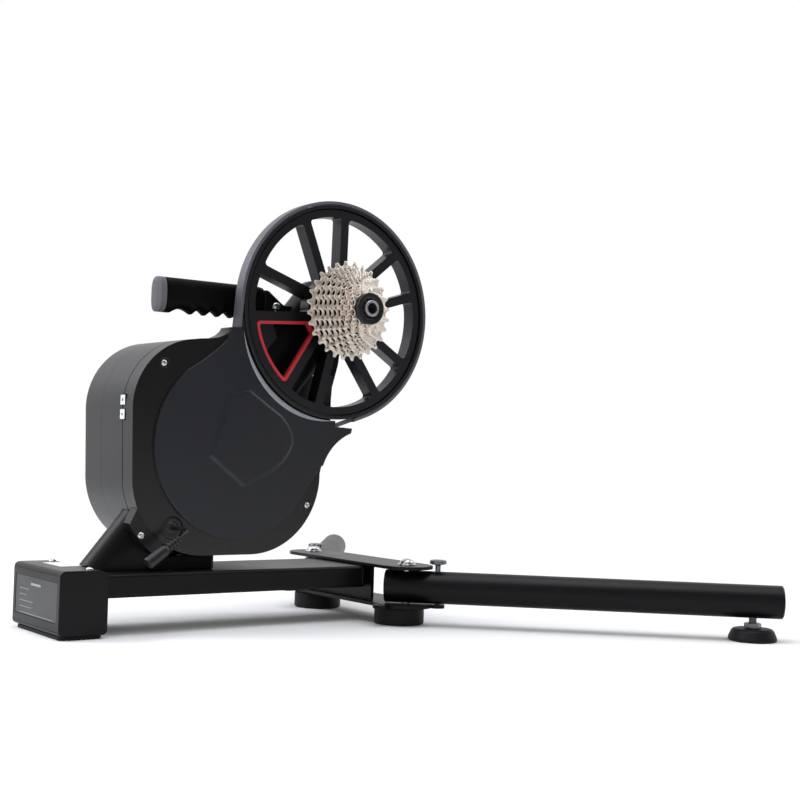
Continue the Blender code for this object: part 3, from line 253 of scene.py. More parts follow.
def draw_out(bm: Mesh, face: bmesh.types.BMFace, move: float, keep: bool) -> bmesh.types.BMFace:
    """Extrude one face along Z.

    Args:
        bm: The mesh.
        face: The face that moves.
        move: How far.
        keep: Whether a copy stays behind to close the mesh.

    Returns:
        The face at the new end.
    """
    grown = bmesh.ops.extrude_face_region(bm, geom=[face])
    verts = [item for item in grown["geom"] if isinstance(item, bmesh.types.BMVert)]
    ends = [item for item in grown["geom"] if isinstance(item, bmesh.types.BMFace)]
    bmesh.ops.translate(bm, verts=verts, vec=(0, 0, move))
    if not keep and face.is_valid:
        bmesh.ops.delete(bm, geom=[face], context="FACES_ONLY")
    return ends[0]


def shell(outline: Outline, low: float, high: float, wall: float, floor_depth: float,
          edge: float = 0.0, groove: float = 0.0) -> Mesh:
    """Make a moulded shell, open at the low side.

    Args:
        outline: Its outer outline.
        low: Height of the open rim.
        high: Height of the closed side.
        wall: Thickness of its side wall.
        floor_depth: Thickness of its closed side.
        edge: Radius of the edge about the closed side.
        groove: Depth of the bevel outside the open rim, which leaves a groove at a seam.

    Returns:
        The shell's mesh.
    """
    bm = bmesh.new()
    toward = 1 if high > low else -1
    draw_loop(bm, outline, low + toward * groove)
    rim = bm.faces.new(bm.verts[:])
    lid = draw_out(bm, rim, high - low - toward * (edge + groove), keep=True)
    bmesh.ops.recalc_face_normals(bm, faces=bm.faces)
    steps = 6 if edge else 0
    for k in range(steps):
        near, far = radians(90 * k / steps), radians(90 * (k + 1) / steps)
        inset_face(bm, lid, edge * (cos(near) - cos(far)), edge * (sin(far) - sin(near)))
    if groove:
        inset_face(bm, rim, groove, groove)
    inset_face(bm, rim, wall - groove)
    draw_out(bm, rim, high - low - toward * floor_depth, keep=False)
    return bm


def new_object(name: str, data: bpy.types.ID) -> bpy.types.Object:
    """Make an object in the scene."""
    obj = bpy.data.objects.new(name, data)
    bpy.context.scene.collection.objects.link(obj)
    return obj


class Blank:
    """A solid in the making, in metres in the frame's axes, to be cut, joined and rounded."""

    def __init__(self, mesh: Mesh, facing: Facing = Facing.UP, at: Triple = (0, 0, 0),
                 turn: Matrix | None = None) -> None:
        """Place a mesh that is drawn in millimetres.

        Args:
            mesh: The mesh, which is used up.
            facing: Which way its +Z runs.
            at: Where its origin goes.
            turn: A turn used in place of facing.
        """
        bmesh.ops.remove_doubles(mesh, verts=mesh.verts, dist=0.001)
        bmesh.ops.recalc_face_normals(mesh, faces=mesh.faces)
        turn = turn or Euler(facing.value).to_matrix().to_4x4()
        mesh.transform(Matrix.Scale(MM, 4) @ Matrix.Translation(at) @ turn)
        data = bpy.data.meshes.new("blank")
        mesh.to_mesh(data)
        mesh.free()
        self.obj = new_object("blank", data)

    def _bake(self) -> None:
        """Turn the modifiers' result into the mesh."""
        bpy.context.view_layer.update()
        graph = bpy.context.evaluated_depsgraph_get()
        baked = bpy.data.meshes.new_from_object(self.obj.evaluated_get(graph), depsgraph=graph)
        self.obj.modifiers.clear()
        old, self.obj.data = self.obj.data, baked
        bpy.data.meshes.remove(old)

    def _close(self) -> None:
        """Weld the slivers that a Boolean or a rounding leaves."""
        bm = bmesh.new()
        bm.from_mesh(self.obj.data)
        bmesh.ops.remove_doubles(bm, verts=bm.verts, dist=0.003 * MM)
        bmesh.ops.dissolve_degenerate(bm, edges=bm.edges, dist=0.003 * MM)
        bm.to_mesh(self.obj.data)
        bm.free()

    def _merge_flats(self) -> None:
        """Join faces that lie in one plane, so that edges round evenly."""
        bm = bmesh.new()
        bm.from_mesh(self.obj.data)
        bmesh.ops.remove_doubles(bm, verts=bm.verts, dist=0.002 * MM)
        bmesh.ops.dissolve_limit(bm, angle_limit=radians(0.3), verts=bm.verts, edges=bm.edges)
        bm.to_mesh(self.obj.data)
        bm.free()

    def _combine(self, other: "Blank", operation: str) -> "Blank":
        """Use up another solid in a Boolean."""
        modifier = self.obj.modifiers.new("combine", "BOOLEAN")
        modifier.operation = operation
        modifier.solver = "EXACT"
        modifier.object = other.obj
        self._bake()
        self._close()
        bpy.data.objects.remove(other.obj, do_unlink=True)
        return self

    def cut(self, other: "Blank") -> "Blank":
        """Cut another solid out."""
        return self._combine(other, "DIFFERENCE")

    def join(self, other: "Blank") -> "Blank":
        """Join another solid on."""
        return self._combine(other, "UNION")

    def keep_inside(self, other: "Blank") -> "Blank":
        """Keep only what lies inside another solid."""
        return self._combine(other, "INTERSECT")

    def round_edges(self, width: float, segments: int = 3, angle: float = 40) -> "Blank":
        """Round the edges that are sharper than an angle.

        Args:
            width: Width of the rounding.
            segments: Its facets.
            angle: The least angle in degrees that is rounded.

        Returns:
            The same solid.
        """
        self._merge_flats()
        modifier = self.obj.modifiers.new("round", "BEVEL")
        modifier.width = MM * width
        modifier.segments = segments
        modifier.limit_method = "ANGLE"
        modifier.angle_limit = radians(angle)
        modifier.use_clamp_overlap = True
        modifier.miter_outer = "MITER_ARC"
        self._bake()
        return self

    def piece(self, name: str, body: str, slot: str, finish: "Finish",
              nodes: Sequence[str] = (), weighted: bool = True) -> bpy.types.Object:
        """Make the finished piece.

        Args:
            name: Its name.
            body: The body that it rides on.
            slot: The record's material slot; not used.
            finish: Its finish.
            nodes: CAD nodes that it stands for.
            weighted: Whether large faces set the shading.

        Returns:
            The piece's object.
        """
        obj = self.obj
        obj.name = obj.data.name = name
        obj.data.materials.clear()
        obj.data.materials.append(finish.material())
        obj.data.shade_smooth()
        obj.data.set_sharp_from_angle(angle=radians(50))
        if weighted:
            modifier = obj.modifiers.new("even_shading", "WEIGHTED_NORMAL")
            modifier.keep_sharp = True
            self._bake()
            obj.data.name = name
        return settle(obj, body, nodes)


def settle(obj: bpy.types.Object, body: str,
           nodes: Sequence[str] = ()) -> bpy.types.Object:
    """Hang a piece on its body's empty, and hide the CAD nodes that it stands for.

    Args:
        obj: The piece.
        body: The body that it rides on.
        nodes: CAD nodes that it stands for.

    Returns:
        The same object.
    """
    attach(obj, body)
    if nodes:
        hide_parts(*nodes)
    LOG.info("%s rides on %s, stands for %s", obj.name, body, ", ".join(nodes) or "nothing")
    return obj


# Shader groups

Socket = bpy.types.NodeSocket


class Tree:
    """A node tree with short calls for adding and linking nodes."""

    def __init__(self, tree: bpy.types.NodeTree) -> None:
        """Hold the tree."""
        self.tree = tree

    def add(self, kind: str, inputs: dict[str | int, object] | None = None,
            **settings: object) -> bpy.types.Node:
        """Add a node.

        Args:
            kind: The node's type.
            inputs: Values or sockets for its inputs.
            settings: The node's own settings.

        Returns:
            The node.
        """
        node = self.tree.nodes.new(kind)
        for key, value in settings.items():
            setattr(node, key, value)
        for key, value in (inputs or {}).items():
            self.feed(node.inputs[key], value)
        return node

    def feed(self, target: Socket, value: object) -> None:
        """Link a socket to an input, or set the input's value."""
        if isinstance(value, bpy.types.NodeSocket):
            self.tree.links.new(value, target)
        else:
            target.default_value = value

    def math(self, operation: str, *values: object, clamp: bool = False) -> Socket:
        """Work out one number."""
        inputs = dict(enumerate(values))
        return self.add("ShaderNodeMath", inputs, operation=operation, use_clamp=clamp).outputs[0]

    def mix(self, factor: object, first: object, second: object) -> Socket:
        """Mix two colours."""
        inputs = {0: factor, 6: first, 7: second}
        return self.add("ShaderNodeMix", inputs, data_type="RGBA").outputs[2]

    def spread(self, value: Socket, low: float, high: float, to_low: float = 0.0,
               to_high: float = 1.0) -> Socket:
        """Map a range of values smoothly to another range."""
        inputs = {0: value, 1: low, 2: high, 3: to_low, 4: to_high}
        return self.add("ShaderNodeMapRange", inputs, interpolation_type="SMOOTHSTEP").outputs[0]

    def noise(self, vector: object, scale: object, detail: float = 2.0) -> Socket:
        """Read a noise texture."""
        inputs = {"Vector": vector, "Scale": scale, "Detail": detail}
        return self.add("ShaderNodeTexNoise", inputs).outputs["Fac"]

    def group(self, group: bpy.types.NodeTree, inputs: dict[str, object]) -> bpy.types.NodeOutputs:
        """Add a shader group."""
        return self.add("ShaderNodeGroup", inputs, node_tree=group).outputs

    def split(self, vector: Socket) -> bpy.types.NodeOutputs:
        """Split a vector into X, Y and Z."""
        return self.add("ShaderNodeSeparateXYZ", {0: vector}).outputs

    def reach(self, place: Socket, x: object, z: object) -> Socket:
        """Work out the distance from an axis along Y.

        Args:
            place: The place on the object.
            x: Where the axis is along X, in metres.
            z: Where it is along Z.

        Returns:
            The distance.
        """
        parts = self.split(place)
        across, up = self.math("SUBTRACT", parts["X"], x), self.math("SUBTRACT", parts["Z"], z)
        across, up = self.math("MULTIPLY", across, across), self.math("MULTIPLY", up, up)
        return self.math("SQRT", self.math("ADD", across, up))

    def box(self, place: Socket, y: Point, z: Point) -> Socket:
        """Give a mask of a box that runs through along X.

        Args:
            place: The place on the object.
            y: Its middle and half its width, in millimetres.
            z: Its middle and half its height.

        Returns:
            The mask.
        """
        parts = self.split(place)
        across = self.math("COMPARE", parts["Z"], z[0] * MM, z[1] * MM)
        along = self.math("COMPARE", parts["Y"], y[0] * MM, y[1] * MM)
        return self.math("MULTIPLY", across, along)

    def between(self, value: Socket, low: float, high: float) -> Socket:
        """Give a mask of the values between two lengths in millimetres."""
        above = self.math("GREATER_THAN", value, low * MM)
        return self.math("MULTIPLY", above, self.math("LESS_THAN", value, high * MM))

    def rays(self, *kinds: str) -> Socket:
        """Give a mask of rays that are of any of the light path's kinds."""
        path = self.add("ShaderNodeLightPath").outputs
        mask = path[kinds[0]]
        for kind in kinds[1:]:
            mask = self.math("MAXIMUM", mask, path[kind])
        return mask


def make_group(name: str, takes: dict[str, float | None], gives: Sequence[str],
               draw: Callable[[Tree, dict[str, Socket]], dict[str, Socket]]) -> bpy.types.NodeTree:
    """Make a shader group once, and find it again later.

    Args:
        name: The group's name.
        takes: Input names, each with its default, or None for a vector.
        gives: Output names.
        draw: Function that draws the inside.

    Returns:
        The group.
    """
    found = bpy.data.node_groups.get(name)
    if found:
        return found
    group = bpy.data.node_groups.new(name, "ShaderNodeTree")
    for label, default in takes.items():
        kind = "NodeSocketVector" if default is None else "NodeSocketFloat"
        socket = group.interface.new_socket(label, in_out="INPUT", socket_type=kind)
        if default is not None:
            socket.default_value = default
    for label in gives:
        group.interface.new_socket(label, in_out="OUTPUT", socket_type="NodeSocketFloat")
    tree = Tree(group)
    entry = tree.add("NodeGroupInput")
    results = draw(tree, {label: entry.outputs[label] for label in takes})
    tree.add("NodeGroupOutput", dict(results))
    return group


def uneven_surface() -> bpy.types.NodeTree:
    """Group: soft clouds and fine grain, sized in millimetres."""
    def draw(tree: Tree, take: dict[str, Socket]) -> dict[str, Socket]:
        cloud = tree.noise(take["Place"], tree.math("DIVIDE", 1000.0, take["Cloud size"]), 3.0)
        grain = tree.noise(take["Place"], tree.math("DIVIDE", 1000.0, take["Grain size"]), 2.0)
        return {"Cloud": tree.spread(cloud, 0.3, 0.7), "Grain": grain}
    takes = {"Place": None, "Cloud size": 60.0, "Grain size": 0.6}
    return make_group("uneven_surface", takes, ("Cloud", "Grain"), draw)


def edge_wear() -> bpy.types.NodeTree:
    """Group: a mask of rubbed edges, broken up by noise."""
    def draw(tree: Tree, take: dict[str, Socket]) -> dict[str, Socket]:
        soft = tree.add("ShaderNodeBevel", {"Radius": 0.9 * MM}, samples=4).outputs["Normal"]
        flat = tree.add("ShaderNodeNewGeometry").outputs["Normal"]
        agree = tree.add("ShaderNodeVectorMath", {0: soft, 1: flat}, operation="DOT_PRODUCT")
        edge = tree.spread(tree.math("SUBTRACT", 1.0, agree.outputs["Value"]), 0.03, 0.2)
        patches = tree.spread(tree.noise(take["Place"], 140.0, 5.0), 0.45, 0.62)
        rubbed = tree.math("MULTIPLY", edge, patches)
        return {"Wear": tree.math("MULTIPLY", rubbed, take["Amount"])}
    return make_group("edge_wear", {"Place": None, "Amount": 0.3}, ("Wear",), draw)


def settled_dust() -> bpy.types.NodeTree:
    """Group: a mask of thin dust on faces that look up."""
    def draw(tree: Tree, take: dict[str, Socket]) -> dict[str, Socket]:
        normal = tree.add("ShaderNodeNewGeometry").outputs["Normal"]
        lying = tree.spread(tree.split(normal)["Z"], 0.5, 1.0)
        specks = tree.spread(tree.noise(take["Place"], 900.0, 3.0), 0.35, 0.75)
        return {"Dust": tree.math("MULTIPLY", tree.math("MULTIPLY", lying, specks), take["Amount"])}
    return make_group("settled_dust", {"Place": None, "Amount": 0.1}, ("Dust",), draw)


def lathe_rings() -> bpy.types.NodeTree:
    """Group: fine rings about an axis along Y, as a lathe leaves them."""
    def draw(tree: Tree, take: dict[str, Socket]) -> dict[str, Socket]:
        reach = tree.reach(take["Place"], take["Axis X"], take["Axis Z"])
        along = tree.math("ADD", reach, tree.split(take["Place"])["Y"])
        noise = tree.add("ShaderNodeTexNoise", {"W": along, "Scale": 2600.0, "Detail": 3.0},
                         noise_dimensions="1D")
        return {"Rings": noise.outputs["Fac"]}
    takes = {"Place": None, "Axis X": 0.0, "Axis Z": 0.0}
    return make_group("lathe_rings", takes, ("Rings",), draw)


# Finishes

def paint(red: int, green: int, blue: int) -> tuple[float, float, float, float]:
    """Turn a screen colour of 0 to 255 into the linear values that shaders take."""
    linear = [(v / 255 / 12.92) if v < 11 else ((v / 255 + 0.055) / 1.055) ** 2.4
              for v in (red, green, blue)]
    return (*linear, 1.0)


Relief = Callable[[Tree, Socket], Socket]


@dataclass(frozen=True)
class Finish:
    """A surface: its colour and gloss, and how uneven, rubbed and dusty it is."""

    name: str
    colour: Colour
    roughness: float
    metallic: float = 0.0
    specular: float = 0.5
    coat: float = 0.0
    coat_roughness: float = 0.15
    tone: float = 0.08
    gloss_spread: float = 0.03
    cloud_size: float = 70.0
    grain_size: float = 0.7
    grain_depth: float = 0.02
    wear: float = 0.0
    worn_colour: Colour = (120, 120, 122)
    dust: float = 0.03
    dust_colour: Colour = (150, 147, 142)

    def relief(self, tree: Tree, place: Socket, grain: Socket) -> Socket:
        """Give the height, in grain depths, that the bump is read from."""
        return grain

    def base_colour(self, tree: Tree, place: Socket, cloud: Socket) -> Socket:
        """Give the colour before wear and dust: two near tones in soft clouds.

        Args:
            tree: The material's tree.
            place: The place on the object.
            cloud: The cloud mask.

        Returns:
            The colour.
        """
        dark = tuple(int(v * (1 - self.tone / 2)) for v in self.colour)
        light = tuple(min(255, int(v * (1 + self.tone / 2)) + 1) for v in self.colour)
        return tree.mix(cloud, paint(*dark), paint(*light))

    def shade(self, tree: Tree, shader: bpy.types.Node, place: Socket) -> None:
        """Set what only this finish has."""

    def material(self) -> bpy.types.Material:
        """Build the material once, and find it again later.

        Returns:
            The material.
        """
        found = bpy.data.materials.get(self.name)
        if found:
            return found
        material = bpy.data.materials.new(self.name)
        material.use_nodes = True
        tree = Tree(material.node_tree)
        shader = material.node_tree.nodes["Principled BSDF"]
        place = tree.add("ShaderNodeTexCoord").outputs["Object"]
        sizes = {"Place": place, "Cloud size": self.cloud_size, "Grain size": self.grain_size}
        surface = tree.group(uneven_surface(), sizes)
        cloud, grain = surface["Cloud"], surface["Grain"]
        colour = self.base_colour(tree, place, cloud)
        gloss = tree.spread(cloud, 0.0, 1.0, self.roughness - self.gloss_spread / 2,
                            self.roughness + self.gloss_spread / 2)
        if self.wear:
            worn = tree.group(edge_wear(), {"Place": place, "Amount": self.wear})["Wear"]
            colour = tree.mix(worn, colour, paint(*self.worn_colour))
        if self.dust:
            dust = tree.group(settled_dust(), {"Place": place, "Amount": self.dust})["Dust"]
            colour = tree.mix(dust, colour, paint(*self.dust_colour))
            gloss = tree.math("ADD", gloss, tree.math("MULTIPLY", dust, 0.5), clamp=True)
        height = self.relief(tree, place, grain)
        bump = tree.add("ShaderNodeBump", {"Height": height, "Distance": self.grain_depth * MM,
                                           "Strength": 1.0})
        tree.feed(shader.inputs["Base Color"], colour)
        tree.feed(shader.inputs["Roughness"], gloss)
        tree.feed(shader.inputs["Normal"], bump.outputs["Normal"])
        shader.inputs["Metallic"].default_value = self.metallic
        shader.inputs["Specular IOR Level"].default_value = self.specular
        shader.inputs["Coat Weight"].default_value = self.coat
        shader.inputs["Coat Roughness"].default_value = self.coat_roughness
        self.shade(tree, shader, place)
        return material


@dataclass(frozen=True)
class LatheFinish(Finish):
    """Metal turned on a lathe about an axis along Y."""

    axis: Point = (0.0, 0.0)
    ring_share: float = 0.7

    def relief(self, tree: Tree, place: Socket, grain: Socket) -> Socket:
        """Mix fine rings about the axis into the grain."""
        axis = {"Place": place, "Axis X": self.axis[0] * MM, "Axis Z": self.axis[1] * MM}
        rings = tree.group(lathe_rings(), axis)["Rings"]
        share = tree.math("MULTIPLY", rings, self.ring_share)
        return tree.math("ADD", share, tree.math("MULTIPLY", grain, 1 - self.ring_share))


@dataclass(frozen=True)
class SprocketFinish(LatheFinish):
    """Plated sprockets, with shade painted in the gaps behind the next smaller one."""

    # painted shade: colour of the faces in the gaps, and the lines where the gaps end
    gap_shade_colour: Colour = (40, 37, 34)
    shade_lines: tuple[Triple, ...] = ((72.7, 48.3, 1.08), (95.14, 24.6, 0.53))

    def base_colour(self, tree: Tree, place: Socket, cloud: Socket) -> Socket:
        """Mix in the painted shade of the gaps.

        Args:
            tree: The material's tree.
            place: The place on the object.
            cloud: Slow changes of tone.

        Returns:
            The colour.
        """
        reach = tree.reach(place, MM * self.axis[0], MM * self.axis[1])
        y = tree.split(place)["Y"]
        limits = []
        for front, radius, slope in self.shade_lines:
            along = tree.math("ADD", y, MM * front)
            limits.append(tree.math("ADD", tree.math("MULTIPLY", along, slope), MM * radius))
        # painted shade: darken each face where the next smaller sprocket covers it
        inside = tree.math("LESS_THAN", reach, tree.math("MAXIMUM", *limits))
        return tree.mix(inside, super().base_colour(tree, place, cloud), paint(*self.gap_shade_colour))


@dataclass(frozen=True)
class RibbedFinish(Finish):
    """Rubber with fine ribs, spaced along one axis."""

    spacing: float = 1.8
    axis: str = "Y"

    def relief(self, tree: Tree, place: Socket, grain: Socket) -> Socket:
        """Add the ribs to the grain."""
        along = tree.split(place)[self.axis]
        wave = tree.math("SINE", tree.math("MULTIPLY", along, 2 * pi / (self.spacing * MM)))
        return tree.math("ADD", tree.math("MULTIPLY", wave, 0.5), grain)


@dataclass(frozen=True)
class RuledFinish(Finish):
    """A bare label plate: thin pale rules on a dark ground, with no lettering."""

    ink: Colour = (150, 156, 162)
    top: float = 51.0
    pitch: float = 6.4
    thick: float = 0.5
    rules: tuple[tuple[float, float], ...] = ((-12.0, 14.0), (20.0, 45.0), (26.0, 45.0),
                                              (8.0, 45.0), (12.0, 45.0), (-48.0, 45.0))

    def base_colour(self, tree: Tree, place: Socket, cloud: Socket) -> Socket:
        """Draw the rules over the ground.

        Args:
            tree: The material's tree.
            place: The place on the object.
            cloud: The cloud mask.

        Returns:
            The colour.
        """
        ground = super().base_colour(tree, place, cloud)
        mask: Socket | None = None
        for row, (start, end) in enumerate(self.rules):
            half, z = self.thick * (2.4 if row == 0 else 0.5), self.top - self.pitch * row
            rule = tree.box(place, ((start + end) / 2, (end - start) / 2), (z, half))
            mask = rule if mask is None else tree.math("MAXIMUM", mask, rule)
        return tree.mix(mask, ground, paint(*self.ink))


@dataclass(frozen=True)
class LensFinish(Finish):
    """A pale window over a lamp, with a darker mark in its middle."""

    middle_y: float = -17.5
    middle_z: float = 0.0
    mark: Colour = (60, 60, 64)
    mark_half: Point = (1.6, 1.4)

    def base_colour(self, tree: Tree, place: Socket, cloud: Socket) -> Socket:
        """Draw a small dark dot on the pale ground."""
        ground = super().base_colour(tree, place, cloud)
        wide, high = self.mark_half
        dot = tree.box(place, (self.middle_y, wide), (self.middle_z, high))
        return tree.mix(dot, ground, paint(*self.mark))


@dataclass(frozen=True)
class MouldedFinish(Finish):
    """Moulded plastic, darker and smoother where the front is low, with a painted highlight on the
    wheel's bevel.
    """

    low_colour: Colour = (11, 11, 13)
    # painted highlight: pale colour given to the bevel round the wheel
    bevel_highlight_colour: Colour = (150, 152, 158)
    low_roughness: float = 0.24
    step_y: float = -44.3
    low_depth: float = 2.6
    front_y: float = -45.97
    highlight_reach: float = 137.0

    def low_area(self, tree: Tree, place: Socket) -> Socket:
        """Give a mask of the front's low area."""
        return tree.between(tree.split(place)["Y"], self.step_y, self.step_y + self.low_depth)

    def bevel(self, tree: Tree, place: Socket) -> Socket:
        """Give a mask of the bevel round the wheel, where the highlight is painted."""
        reach = tree.reach(place, MM * HUB[0], MM * HUB[1])
        near = tree.math("LESS_THAN", reach, self.highlight_reach * MM)
        sunk = tree.between(tree.split(place)["Y"], self.front_y, self.step_y)
        return tree.math("MULTIPLY", near, sunk)

    def base_colour(self, tree: Tree, place: Socket, cloud: Socket) -> Socket:
        """Mix in the low area's colour and the painted highlight on the bevel."""
        ground = tree.mix(self.low_area(tree, place), super().base_colour(tree, place, cloud),
                          paint(*self.low_colour))
        # painted highlight: the bevel round the wheel turns pale
        return tree.mix(self.bevel(tree, place), ground, paint(*self.bevel_highlight_colour))

    def shade(self, tree: Tree, shader: bpy.types.Node, place: Socket) -> None:
        """Smooth the low area."""
        gloss = shader.inputs["Roughness"].links[0].from_socket
        low = self.low_area(tree, place)
        drop = tree.math("MULTIPLY", low, self.roughness - self.low_roughness)
        tree.feed(shader.inputs["Roughness"], tree.math("SUBTRACT", gloss, drop))


POWDER_COAT = Finish("powder_coat", (9, 9, 11), 0.38, specular=0.16, grain_size=1.1,
                     grain_depth=0.02, wear=0.08, dust=0.01)
HANDLE_RUBBER = Finish("handle_rubber", (7, 7, 8), 0.5, specular=0.06, grain_size=0.5,
                       grain_depth=0.03, dust=0.01)
FOOT_RUBBER = Finish("foot_rubber", (15, 15, 18), 0.55, specular=0.2, grain_size=0.6,
                     grain_depth=0.05, dust=0.03)
# casing plastic, with a painted highlight on the bevel round the wheel
CASING_PLASTIC = MouldedFinish("casing_plastic", (21, 22, 28), 0.36, specular=0.4, grain_size=0.45,
                               grain_depth=0.012, tone=0.05, cloud_size=140.0, wear=0.03,
                               dust=0.004)
BLOCK_PLASTIC = Finish("block_plastic", (8, 8, 10), 0.34, specular=0.18, grain_size=0.6,
                       grain_depth=0.015, wear=0.05, dust=0.01)
CAP_PLASTIC = Finish("cap_plastic", (15, 15, 18), 0.42, specular=0.2, grain_size=0.5,
                     grain_depth=0.02, dust=0.0)
WHEEL_PAINT = Finish("wheel_paint", (21, 21, 24), 0.34, specular=0.4, grain_size=0.6,
                     grain_depth=0.012, wear=0.1, dust=0.006)
RED_TRIM = Finish("red_trim", (172, 42, 50), 0.4, specular=0.35, grain_size=0.5, grain_depth=0.01,
                  dust=0.0)
BELT_RUBBER = RibbedFinish("belt_rubber", (76, 76, 83), 0.45, grain_depth=0.06, spacing=1.7,
                           tone=0.12)
# nickel plate, with painted shade in the gaps between sprockets
NICKEL = SprocketFinish("nickel_plate", (232, 222, 212), 0.38, metallic=1.0, grain_depth=0.006,
                     grain_size=0.8, tone=0.08, dust=0.0, axis=HUB, ring_share=0.6)
# Dark spacers, darkened further as painted shade between the sprockets.
SHADED_SPACER = Finish("spacer_dark_shaded", (30, 29, 29), 0.5, specular=0.35, dust=0.0)
BRIGHT_STEEL = Finish("bright_steel", (196, 196, 198), 0.2, metallic=1.0, grain_depth=0.004,
                      tone=0.1, dust=0.0)
DARK_STEEL = Finish("dark_steel", (22, 22, 24), 0.34, metallic=0.3, specular=0.4, grain_depth=0.01,
                    wear=0.1)
PIN_STEEL = Finish("pin_steel", (112, 113, 117), 0.32, metallic=1.0, grain_depth=0.008, tone=0.1)
LOCKRING_BLACK = LatheFinish("lockring_black", (18, 18, 20), 0.3, specular=0.4, grain_depth=0.01,
                             axis=HUB, wear=0.2, dust=0.0)
TURNED_ALUMINIUM = LatheFinish("turned_aluminium", (146, 146, 148), 0.4, metallic=1.0,
                               grain_depth=0.008, axis=HUB, tone=0.08, dust=0.0)
PLUG_RUBBER = Finish("plug_rubber", (20, 20, 22), 0.42, specular=0.4, grain_size=0.5,
                     grain_depth=0.02)
PANEL_INK = RuledFinish("panel_ink", (16, 17, 22), 0.36, grain_depth=0.006)
STICKER_FILM = Finish("sticker_film", (228, 229, 230), 0.32, grain_depth=0.004, tone=0.03)
CAST_IRON = LatheFinish("machined_iron", (96, 97, 100), 0.38, metallic=0.9, grain_depth=0.02,
                        axis=SHAFT)
BOARD_GREEN = Finish("board_green", (24, 84, 56), 0.4, grain_size=1.5, grain_depth=0.05)


# Common pieces

def screw(radius: float, height: float, socket: float, facing: Facing, at: Triple) -> Blank:
    """Make a button-head screw with a hexagon socket.

    Args:
        radius: The head's radius.
        height: The head's height.
        socket: Width of the socket across flats.
        facing: Which way the head looks.
        at: The middle of the head's underside.

    Returns:
        The screw's solid.
    """
    dome = [(radius * x, height * y) for x, y in arc((0, 0), 1, 12, 90, 8)[:-1]]
    head = Blank(turned([(0, 0), (radius, 0), *dome, (0, height)], 48), facing, at)
    return head.cut(Blank(plate([hexagon(socket)], 0.4 * height, 1.2 * height), facing, at))


def outboard(mesh: Mesh, x: float = HUB[0], z: float = 0.0) -> Blank:
    """Stand a mesh in the casing's plane, with its +Z outboard."""
    return Blank(mesh, Facing.OUTBOARD, (x, 0, z))


def about_hub(profile: Sequence[Point], segments: int = 96) -> Blank:
    """Turn a profile about the axle, with its +Z outboard."""
    return outboard(turned(profile, segments), z=HUB[1])


def bar(radius: float, low: float, high: float) -> Outline:
    """Give the profile of a plain round bar."""
    return [(0, low), (radius, low), (radius, high), (0, high)]


